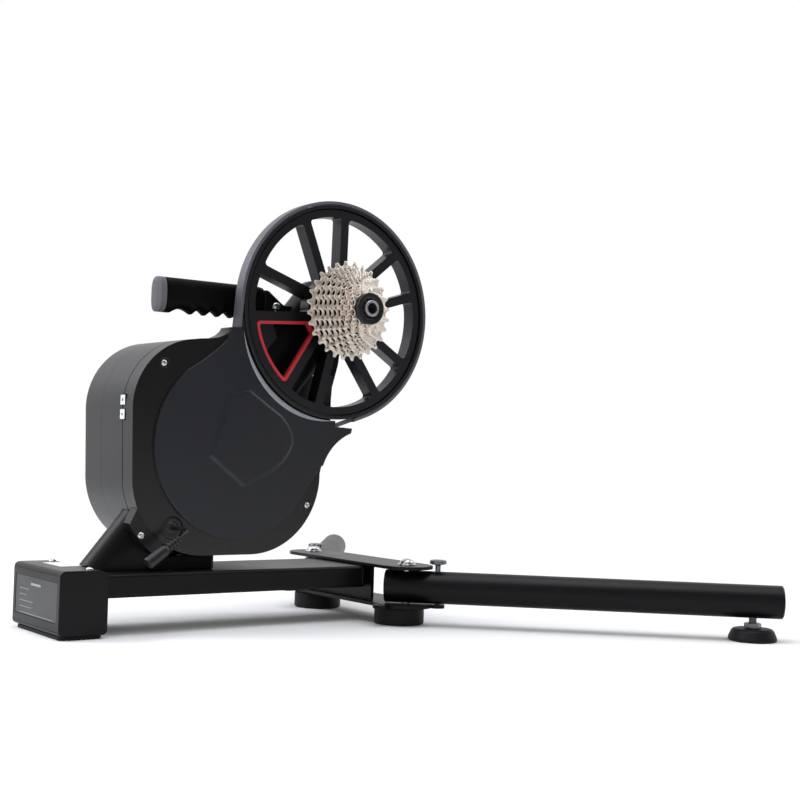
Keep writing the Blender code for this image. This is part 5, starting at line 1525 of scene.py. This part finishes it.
@dataclass
class SpokedWheel:
    """Driven pulley: raised rim under the belt, five pairs of spokes, boss and red trim."""

    front: float = 50.0
    back: float = 34.0
    track_radius: float = 127.3
    spoke_front: float = 48.0
    outer: float = 112.5
    inner: float = 41.0
    spoke_width: float = 11.0
    spoke_back: float = 29.5
    splay: float = 11.3
    offset: float = 5.6
    pairs: int = 5
    first_pair: float = 28.5
    bore: float = 21.0
    trim_window: int = 2
    trim_width: float = 3.4
    trim_turn: float = 4.0

    @staticmethod
    def on_edge(direction: float, offset: float, radius: float) -> Point:
        """Give the point of a spoke's edge line at a radius from the hub."""
        turn, along = radians(direction), sqrt(radius**2 - offset**2)
        return along * cos(turn) - offset * sin(turn), along * sin(turn) + offset * cos(turn)

    def window(self, first: Point, last: Point, shrink: float, corner: float) -> Outline:
        """Give the window between two spoke edges.

        Args:
            first: Direction and side offset of the first edge.
            last: Direction and side offset of the last edge.
            shrink: How much smaller the window is all round.
            corner: Radius of its corners.

        Returns:
            The window's outline.
        """
        outer, inner = self.outer - shrink, self.inner + shrink
        edges = [(first[0], first[1] + shrink), (last[0], last[1] - shrink)]
        ends = [[self.on_edge(*edge, radius) for radius in (inner, outer)] for edge in edges]
        turns = [[degrees(atan2(z, x)) for x, z in pair] for pair in ends]
        wide, narrow = (turns[1][1] - turns[0][1]) % 360, (turns[1][0] - turns[0][0]) % 360
        outside = arc((0, 0), outer, turns[0][1], turns[0][1] + wide, max(2, round(wide / 2)))
        inside = arc((0, 0), inner, turns[1][0], turns[1][0] - narrow, max(2, round(narrow / 3)))
        keep = 1 + round(corner / 2)
        loop = [(*ends[0][0], corner), (*ends[0][1], corner), *outside[keep:-keep],
                (*ends[1][1], corner), (*ends[1][0], corner), *inside[1:-1]]
        return rounded(loop, 6)

    def wide_window(self, index: int, shrink: float = 0.0, corner: float = 4.0) -> Outline:
        """Give the window between one pair of spokes and the next."""
        near = self.first_pair + index * 360 / self.pairs
        far = near + 360 / self.pairs - self.splay
        if index == self.trim_window:
            far += self.trim_turn
        reach = self.offset + self.spoke_width / 2
        return self.window((near + self.splay, reach), (far, -reach), shrink, corner)

    def narrow_window(self, index: int) -> Outline:
        """Give the window inside one pair of spokes."""
        middle = self.first_pair + index * 360 / self.pairs
        first = middle - self.splay
        if index == self.trim_window + 1:
            first += self.trim_turn
        reach = self.spoke_width / 2 - self.offset
        return self.window((first, reach), (middle + self.splay, -reach), 0.0, 3.0)

    def build(self) -> None:
        """Build the wheel and its trim."""
        windows = [self.wide_window(k) for k in range(self.pairs)]
        windows += [self.narrow_window(k) for k in range(self.pairs)]
        loops = [circle(121.2, 240), circle(self.bore, 96), *windows]
        disc = plate(loops, self.spoke_back, self.spoke_front)
        wheel = outboard(disc, z=HUB[1]).round_edges(0.9, 3, 50)
        edge = self.track_radius
        rim = [(119.5, self.back), (edge, self.back), (edge, self.front - 1.0),
               (edge - 0.3, self.front - 0.3), (edge - 1.0, self.front), (123.4, self.front),
               (122.9, self.front - 0.4), (122.3, 45.5), (119.5, 45.5)]
        wheel.join(about_hub(rim, 240))
        boss = [(self.bore + 0.5, 40), (35, 40), (35, 50.2), (34.2, 51), (31, 51), (30.4, 50.4),
                (28.6, 50.4), (28, 51), (22.3, 51), (self.bore + 0.5, 50.2)]
        wheel.join(about_hub(boss, 128))
        wheel.piece("wheel", "pulley", "wheel_paint", WHEEL_PAINT, ["pulley_wheel"])
        loops = [self.wide_window(self.trim_window, GAP),
                 self.wide_window(self.trim_window, GAP + self.trim_width, 2.5)]
        trim = outboard(plate(loops, 42.6, 48.6), z=HUB[1]).round_edges(0.7, 3)
        trim.piece("trim", "pulley", "red_plastic", RED_TRIM, ["window_trim"])


@dataclass
class Axle:
    """Hollow axle, the end ring that the frame's dropout meets, and the wheel's bearing."""

    bore: float = 6.25
    slim: float = 8.5
    thick: float = 12.0
    face: float = 120.0

    def build(self) -> None:
        """Build the axle."""
        axle = [(self.bore, -15), (11.2, -15), (self.thick, -14.2), (self.thick, 35.7),
                (self.slim, 35.7), (self.slim, 104.7), (self.bore, 104.7)]
        about_hub(axle).piece("hub_axle", "root", "steel", BRIGHT_STEEL, ["axle"])
        end = [(self.bore, 105), (self.slim, 105), (self.slim, 111), (9.35, 111), (9.75, 111.4),
               (9.75, 118.8), (8.6, self.face), (7.1, self.face), (self.bore, 119.2)]
        ring = about_hub(end)
        ring.piece("axle_ring", "root", "aluminium", TURNED_ALUMINIUM, ["axle_end_drive"])
        bearing = [(8.8, 37), (20.7, 37), (20.7, 49), (18.6, 49), (18.2, 48.2), (12.0, 48.2),
                   (11.6, 49), (8.8, 49)]
        about_hub(bearing).piece("bearing", "root", "steel", BRIGHT_STEEL, ["wheel_bearing"])


@dataclass
class Cassette:
    """Freehub body, eleven toothed sprockets with spacers, and the lockring."""

    teeth: tuple[int, ...] = (28, 25, 23, 21, 19, 17, 15, 14, 13, 12, 11)
    largest_front: float = 72.7
    pitch: float = 3.74
    thickness: float = 1.6
    chain_pitch: float = 12.7
    valley: float = 3.95
    tip_half: float = 1.35
    tall_tip: Pair = (1.9, 0.12)
    low_tip: Pair = (1.2, 0.35)
    small_hole: float = 1.15
    window_inner: float = 27.0
    window_sweep: float = 36.0
    freehub: float = 17.0
    blocks: tuple[tuple[str, int, float], ...] = (
        ("sprockets_large", 4, 24.0), ("sprockets_middle", 3, 21.5), ("sprockets_small", 4, 18.3))

    def tooth_line(self, count: int) -> Outline:
        """Give a sprocket's outline: round valleys with hooked, cut-off tips.

        Args:
            count: The number of teeth.

        Returns:
            The outline.
        """
        pitch_radius = self.chain_pitch / (2 * sin(pi / count))
        points: Outline = []
        for k in range(count):
            turn = 2 * pi * k / count
            centre = (pitch_radius * cos(turn), pitch_radius * sin(turn))
            inward = degrees(turn) + 180
            points += arc(centre, self.valley, inward + 80, inward - 80, 10)
            height, lean = self.low_tip if k % 3 == 2 else self.tall_tip
            tip = pitch_radius + height
            half = self.tip_half / tip
            middle = turn + pi / count + lean / tip
            points += [(tip * cos(middle - half), tip * sin(middle - half)),
                       (tip * cos(middle + half), tip * sin(middle + half))]
        return points

    def window(self, start: float, outer: float) -> Outline:
        """Give one window of a large sprocket.

        Args:
            start: Its first angle in degrees.
            outer: Its outer radius.

        Returns:
            The outline, round at its four corners.
        """
        end, steps = start + self.window_sweep, 8
        points = arc((0, 0), outer, start, end, steps)
        points += arc((0, 0), self.window_inner, end, start, steps)
        corners = (0, steps, steps + 1, 2 * steps + 1)
        return rounded([(*p, 2.0) if i in corners else p for i, p in enumerate(points)], 3)

    def sprocket(self, index: int) -> Blank:
        """Give one sprocket with its small holes, and windows in the larger ones.

        Args:
            index: Its place, from the largest.

        Returns:
            The solid.
        """
        count = self.teeth[index]
        front = self.largest_front + self.pitch * index
        root = self.chain_pitch / (2 * sin(pi / count)) - self.valley
        loops = [self.tooth_line(count), circle(self.freehub + GAP, 64)]
        if count > 13:
            for k in range(0, count - 1, 2):
                turn = 2 * pi * (k + 0.5) / count
                centre = ((root + 0.2) * cos(turn), (root + 0.2) * sin(turn))
                loops.append(circle(self.small_hole, 12, centre))
        if count > 22:
            loops += [self.window(60 * k + 12, root - 7) for k in range(6)]
        disc = plate(loops, front - self.thickness, front)
        return outboard(disc, z=HUB[1]).round_edges(0.28, 2, 50)

    def lockring(self) -> None:
        """Make the black lockring with its splined bore."""
        start = 110.5
        ring = [(9.9, start), (self.freehub, start), (self.freehub, 114.2), (18.3, 114.8),
                (18.3, 116.1), (17.9, 116.8), (17.2, 117), (13.6, 117), (12.6, 116.4), (9.9, 116.2)]
        body = about_hub(ring, 120)
        spline: Outline = []
        for k in range(12):
            turn = 30 * k
            spline += arc((0, 0), 12.0, turn - 8, turn + 8, 4)
            spline += arc((0, 0), 10.6, turn + 11, turn + 19, 2)
        body.cut(outboard(plate([spline], start - 1, 118), z=HUB[1]))
        body.piece("lock_ring", "cassette", "black_metal", LOCKRING_BLACK, ["lockring"])

    def build(self) -> None:
        """Build the cassette."""
        body = [(9.0, 51.7), (23.2, 51.7), (24, 52.5), (24, 66.6), (23, 68), (self.freehub, 68),
                (self.freehub, 109.6), (9.0, 109.6)]
        about_hub(body).piece("freehub", "cassette", "black_metal", DARK_STEEL, ["freehub_body"])
        places = [(node, k, radius) for node, amount, radius in self.blocks for k in range(amount)]
        for index, (node, k, _) in enumerate(places):
            nodes = [node] if k == 0 else []
            name = "sprocket_" + str(self.teeth[index]) + "_teeth"
            self.sprocket(index).piece(name, "cassette", "nickel", NICKEL, nodes, weighted=False)
        # The spacers carry the painted shade of the gaps between sprockets.
        for index, (_, _, radius) in enumerate(places[1:]):
            low = self.largest_front + self.pitch * index + 0.05
            high = low + self.pitch - self.thickness - 0.1
            inner = self.freehub + GAP
            ring = [(inner, low), (radius, low), (radius, high), (inner, high)]
            about_hub(ring, 72).piece("spacer_" + str(index + 1), "cassette", "nickel", SHADED_SPACER)
        self.lockring()


@dataclass
class Hinge:
    """Two plates over the pivots, the web between them, bolts and floor pads."""

    pivot_x: float = 388.0
    pivot_y: float = 100.5
    radius: float = 31.0
    thickness: float = 4.0
    top: float = 65.9
    bottom: float = 20.8
    pin_reach: float = 37.0
    pin_radius: float = 3.2
    ear_radius: float = 9.0
    bolt_hole: float = 5.3
    web_x: Point = (366.0, 370.0)
    web_half: float = 60.0
    pad_y: float = 88.0

    def outline(self) -> Outline:
        """Give the plates' long outline."""
        return (arc((self.pivot_x, self.pivot_y), self.radius, 0, 180, 64)
                + arc((self.pivot_x, -self.pivot_y), self.radius, 180, 360, 64))

    def plates(self) -> None:
        """Make both plates, the lower one with ears for the lock pins."""
        places = [(self.pivot_x, -self.pivot_y), (self.pivot_x, self.pivot_y)]
        holes = [circle(self.bolt_hole, 48, place) for place in places]
        loops = [self.outline(), *holes]
        upper = Blank(plate(loops, self.top, self.top + self.thickness)).round_edges(0.9, 3)
        upper.piece("upper_plate", "root", "black_paint", POWDER_COAT, ["hinge_top_plate"])
        lower = Blank(plate(loops, self.bottom, self.bottom + self.thickness))
        for side in Side:
            for turn in (side.value[2], pi):
                x = self.pivot_x + self.pin_reach * cos(turn)
                y = side.value[1] * self.pivot_y + self.pin_reach * sin(turn)
                ear = [circle(self.ear_radius, 48, (x, y)),
                       circle(self.pin_radius + GAP, 32, (x, y))]
                lower.join(Blank(plate(ear, self.bottom, self.bottom + self.thickness)))
        lower.round_edges(0.8, 2)
        lower.piece("lower_plate", "root", "black_paint", POWDER_COAT, ["hinge_bottom_plate"])
        (back, front), half = self.web_x, self.web_half
        outline = [(back, -half), (front, -half), (front, half), (back, half)]
        web = plate([outline], self.bottom + self.thickness + GAP, self.top - GAP)
        Blank(web).piece("web", "root", "black_paint", POWDER_COAT, ["hinge_web"])

    def bolts_and_pads(self) -> None:
        """Make the domed pivot bolts on their washers, and the round pads on the floor."""
        top = self.top + self.thickness + 0.1
        dome = [(8.7 * x, top + 1.9 + 5.3 * y) for x, y in arc((0, 0), 1, 0, 81, 9)]
        profile = [(0, self.bottom + GAP), (4.6, self.bottom + GAP), (5, self.bottom + 0.8),
                   (5, top), (11, top), (11, top + 1.1), (10.6, top + 1.5), (8.7, top + 1.5), *dome,
                   (0, top + 7.2)]
        pad = [(0, 0), (27.6, 0), (29.0, 0.7), (29.5, 2.0), (29.5, 17.6), (29.0, 19.4),
               (27.6, 20.5), (0, 20.5)]
        for side in Side:
            name, sign, _ = side.value
            at = (self.pivot_x, sign * self.pivot_y, 0)
            bolt = Blank(turned(profile, 64), at=at)
            bolt.cut(Blank(plate([hexagon(6.0)], top + 4.2, top + 9), at=at))
            bolt.piece("hinge_bolt_" + name, "root", "steel", BRIGHT_STEEL, ["pivot_bolt_" + name])
            disc = Blank(turned(pad, 96), at=(self.pivot_x, sign * self.pad_y, 0))
            disc.piece("floor_pad_" + name, "root", "rubber", FOOT_RUBBER, ["hinge_pad_" + name])

    def build(self) -> None:
        """Build the hinge."""
        self.plates()
        self.bolts_and_pads()


@dataclass
class Leg:
    """One folding leg on its pivot, with a cap, a levelling foot and a lock pin."""

    side: Side
    hinge: Hinge
    radius: float = 19.0
    wall: float = 2.0
    height: float = 44.6
    inner_end: float = -25.0
    outer_end: float = 430.0
    foot_reach: float = 400.0
    stud: float = 4.7
    thread: float = 1.25
    nut_low: float = 14.3
    nut_high: float = 20.3

    def place(self, reach: float, height: float = 0.0, lying: bool = False) -> dict[str, object]:
        """Give a Blank's place on the leg.

        Args:
            reach: Distance from the pivot along the leg.
            height: Height above the floor.
            lying: Whether the piece's own +Z runs along the leg.

        Returns:
            The Blank's turn and place.
        """
        _, sign, angle = self.side.value
        at = (self.hinge.pivot_x + reach * cos(angle),
              sign * self.hinge.pivot_y + reach * sin(angle), height)
        turn = Matrix.Rotation(angle, 4, "Z")
        if lying:
            turn = turn @ Euler(Facing.FORWARD.value).to_matrix().to_4x4()
        return {"at": at, "turn": turn}

    def tube(self, name: str) -> None:
        """Make the tube with its holes, and the cap in its end."""
        inner = self.radius - self.wall
        profile = [(0, self.inner_end), (self.radius - 1, self.inner_end),
                   (self.radius, self.inner_end + 1), (self.radius, self.outer_end),
                   (inner, self.outer_end), (inner, self.inner_end + 2), (0, self.inner_end + 2)]
        tube = Blank(turned(profile, 96), **self.place(0, self.height, lying=True))
        pivot, pin = self.hinge.bolt_hole, self.hinge.pin_radius + GAP
        for reach, radius, low, high in ((0, pivot, 10, 80), (self.hinge.pin_reach, pin, 10, 80),
                                         (self.foot_reach, self.stud + 0.4, -5, self.height)):
            tube.cut(Blank(turned(bar(radius, low, high), 48), **self.place(reach)))
        tube.piece("tube_" + name, name + "_leg", "black_paint", POWDER_COAT, ["leg_" + name])
        rim = self.radius
        cap = [(0, -10), (inner - GAP, -10), (inner - GAP, GAP), (rim - 0.3, GAP), (rim, 0.7),
               (rim, 1.9), (rim - 0.8, 2.9), (17.0, 3.6), (14.0, 4.2), (10.0, 4.5), (0, 4.8)]
        plug = Blank(turned(cap, 96), **self.place(self.outer_end, self.height, lying=True))
        plug.piece("end_plug_" + name, name + "_leg", "black_plastic", BLOCK_PLASTIC,
                   ["leg_cap_" + name])

    def foot(self, name: str) -> None:
        """Make the threaded stud with its hexagon nut, and the rubber puck."""
        profile: Outline = [(0, 6.3), (3.9, 6.3)]
        z = 7.0
        while z + self.thread < 56:
            profile += [(self.stud, z + 0.15 * self.thread), (self.stud, z + 0.35 * self.thread),
                        (self.stud - 0.65, z + 0.7 * self.thread),
                        (self.stud - 0.65, z + 0.9 * self.thread)]
            z += self.thread
        profile += [(self.stud - 0.65, 56), (0, 56)]
        stud = Blank(turned(profile, 40), **self.place(self.foot_reach))
        nut = Blank(plate([hexagon(16.9)], self.nut_low, self.nut_high),
                    **self.place(self.foot_reach))
        ball = [(0, self.nut_low - 1), (8.2, self.nut_low - 0.1), (9.9, self.nut_low + 0.9),
                (9.9, self.nut_high - 0.9), (8.2, self.nut_high + 0.1), (0, self.nut_high + 1)]
        nut.keep_inside(Blank(turned(ball, 64), **self.place(self.foot_reach)))
        stud.join(nut).piece("foot_stud_" + name, name + "_foot_screw", "steel", PIN_STEEL,
                             ["foot_screw_" + name])
        puck = [(0, 0), (25.6, 0), (26.6, 0.5), (27.4, 1.6), (27.5, 2.6), (27.0, 5.0), (24.2, 11.2),
                (23.2, 12.6), (21.6, 13.6), (20.0, 14.0), (7.0, 14.0), (self.stud + 0.5, 13.0),
                (self.stud + 0.5, 6), (0, 6)]
        body = Blank(turned(puck, 96), **self.place(self.foot_reach))
        for k in range(3):
            groove = [(8.0 + 6 * k, -1), (10.0 + 6 * k, -1), (10.0 + 6 * k, 0.7),
                      (8.0 + 6 * k, 0.7)]
            body.cut(Blank(turned(groove, 72), **self.place(self.foot_reach)))
        body.piece("puck_" + name, name + "_foot_puck", "rubber", FOOT_RUBBER,
                   ["foot_puck_" + name])

    def pin(self, name: str) -> None:
        """Make the lock pin with its gripped head."""
        low, radius = 25.1, self.hinge.pin_radius
        profile = [(0, low), (radius - 0.8, low), (radius, low + 1), (radius, 70.4), (4.6, 71.4),
                   (8.0, 72.0), (9.4, 72.5), (10.0, 73.4), (10.0, 75.6), (9.4, 76.5), (8.4, 77.0),
                   (5.2, 77.0), (4.6, 76.5), (0, 76.5)]
        pin = Blank(turned(profile, 72), **self.place(self.hinge.pin_reach))
        x, y, _ = self.place(self.hinge.pin_reach)["at"]
        for k in range(8):
            turn = radians(45 * k)
            spot = (x + 11.6 * cos(turn), y + 11.6 * sin(turn), 0)
            pin.cut(Blank(turned(bar(2.6, 71, 78), 24), at=spot))
        pin.piece("pull_pin_" + name, name + "_lock_pin", "steel", PIN_STEEL, ["lock_pin_" + name])

    def build(self) -> None:
        """Build the leg."""
        name = self.side.value[0]
        self.tube(name)
        self.foot(name)
        self.pin(name)


@dataclass
class InnerDrive:
    """Flywheel, shaft, sleeve, brake and board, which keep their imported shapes."""

    dress: tuple[tuple[str, Finish], ...] = (
        ("flywheel", CAST_IRON), ("flywheel_shaft", BRIGHT_STEEL), ("shaft_bearing", BRIGHT_STEEL),
        ("magnet_brake", CAST_IRON), ("control_board", BOARD_GREEN))

    def build(self) -> None:
        """Give the hidden pieces their finishes."""
        for name, finish in self.dress:
            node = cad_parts[name]
            node.data.materials.clear()
            node.data.materials.append(finish.material())
            LOG.info("%s keeps its packed shape", name)


@dataclass
class Studio:
    """Camera, soft lights, pale floor and world."""

    place: Triple = (-0.5823, -1.3761, 0.2101)
    yaw: float = 36.754
    pitch: float = 1.9375
    roll: float = 1.765
    lens: float = 60.85
    ambient: float = 0.55
    dark_side: float = 0.12
    floor_size: float = 6.0
    floor_place: Triple = (0.3, 0.0, -0.0002)
    floor_fade: Point = (0.55, 1.1)
    lamp_colour: Triple = (0.93, 0.95, 1.0)
    lamps: tuple[tuple[str, Triple, Triple, float, float], ...] = field(default_factory=lambda: (
        ("left_box", (-1.4, 1.2, 1.9), (0.15, 0.0, 0.3), 1.5, 50.0),
        ("top_box", (0.2, -0.3, 2.2), (0.25, -0.05, 0.3), 1.6, 26.0),
        ("right_box", (1.9, -0.9, 1.5), (0.3, 0.0, 0.3), 1.0, 7.5),
        ("front_fill", (-0.9, -2.3, 0.7), (0.3, 0.0, 0.3), 1.2, 3.5)))

    def camera(self) -> None:
        """Set the camera that the photo was fitted with."""
        data = bpy.data.cameras.new("camera")
        data.lens, data.sensor_width = self.lens, 36.0
        data.clip_start = 0.01
        camera = new_object("camera", data)
        yaw, pitch, roll = (radians(v) for v in (self.yaw, self.pitch, self.roll))
        ahead = Vector((sin(yaw) * cos(pitch), cos(yaw) * cos(pitch), sin(pitch)))
        right = Vector((cos(yaw), -sin(yaw), 0))
        up = right.cross(ahead)
        right, up = cos(roll) * right + sin(roll) * up, cos(roll) * up - sin(roll) * right
        matrix = Matrix((right, up, -ahead)).transposed().to_4x4()
        matrix.translation = self.place
        camera.matrix_world = matrix
        bpy.context.scene.camera = camera

    def world(self) -> None:
        """Set a plain ambient world that cameras, metal and glass see as white.

        The camera's own side of the room is darker in reflections, as in a studio.
        """
        world = bpy.data.worlds.new("world")
        world.use_nodes = True
        bpy.context.scene.world = world
        tree = Tree(world.node_tree)
        seen = tree.rays("Is Camera Ray", "Is Glossy Ray", "Is Transmission Ray")
        across = tree.split(tree.add("ShaderNodeTexCoord").outputs["Generated"])["Y"]
        room = tree.spread(across, -0.85, -0.1, self.dark_side, 1.0)
        shine = tree.math("MAXIMUM", tree.rays("Is Camera Ray", "Is Transmission Ray"), room)
        level = tree.add("ShaderNodeMapRange", {0: seen, 3: self.ambient, 4: shine}).outputs[0]
        background = world.node_tree.nodes["Background"]
        background.inputs["Color"].default_value = (1, 1, 1, 1)
        tree.feed(background.inputs["Strength"], level)

    def light(self) -> None:
        """Set the soft boxes."""
        for name, place, target, size, power in self.lamps:
            data = bpy.data.lights.new(name, "AREA")
            data.shape, data.size, data.energy = "SQUARE", size, power
            data.color = self.lamp_colour
            lamp = new_object(name, data)
            lamp.location = place
            aim = Vector(target) - Vector(place)
            lamp.rotation_euler = aim.to_track_quat("-Z", "Y").to_euler()

    def floor(self) -> None:
        """Lay a pale floor that keeps the shadow and fades to white further out."""
        bm = bmesh.new()
        bmesh.ops.create_circle(bm, cap_ends=True, segments=96, radius=self.floor_size)
        data = bpy.data.meshes.new("floor")
        bm.to_mesh(data)
        bm.free()
        floor_obj = new_object("floor", data)
        floor_obj.location = self.floor_place
        material = bpy.data.materials.new("pale_floor")
        material.use_nodes = True
        tree = Tree(material.node_tree)
        shader = material.node_tree.nodes["Principled BSDF"]
        shader.inputs["Base Color"].default_value = (0.92, 0.92, 0.92, 1)
        shader.inputs["Roughness"].default_value = 0.8
        shader.inputs["Specular IOR Level"].default_value = 0.0
        place = tree.add("ShaderNodeTexCoord").outputs["Object"]
        reach = tree.add("ShaderNodeVectorMath", {0: place}, operation="LENGTH").outputs["Value"]
        seen = tree.rays("Is Camera Ray", "Is Glossy Ray", "Is Transmission Ray")
        fade = tree.math("MULTIPLY", tree.spread(reach, *self.floor_fade), seen)
        white = tree.add("ShaderNodeEmission", {"Color": (1, 1, 1, 1), "Strength": 1.0})
        blend = tree.add("ShaderNodeMixShader",
                         {0: fade, 1: shader.outputs[0], 2: white.outputs[0]})
        output = material.node_tree.nodes["Material Output"]
        tree.feed(output.inputs["Surface"], blend.outputs[0])
        data.materials.append(material)

    def build(self) -> None:
        """Set up everything that isn't the trainer."""
        bpy.context.scene.view_settings.view_transform = "Standard"
        self.camera()
        self.world()
        self.light()
        self.floor()


def main() -> None:
    """Build the scene: the studio and the lead first, then the trainer from the floor up."""
    logging.basicConfig(level=logging.INFO, format="%(message)s")
    Studio().build()
    lead = PowerLead()
    lead.build()
    Base().build()
    tube = MainTube()
    tube.build()
    CarryHandle(tube).build()
    belt = DriveBelt()
    belt.build()
    Casing(tube).build(belt, lead)
    SpokedWheel().build()
    Axle().build()
    Cassette().build()
    hinge = Hinge()
    hinge.build()
    for side in Side:
        Leg(side, hinge).build()
    InnerDrive().build()


if __name__ == "__main__":
    main()
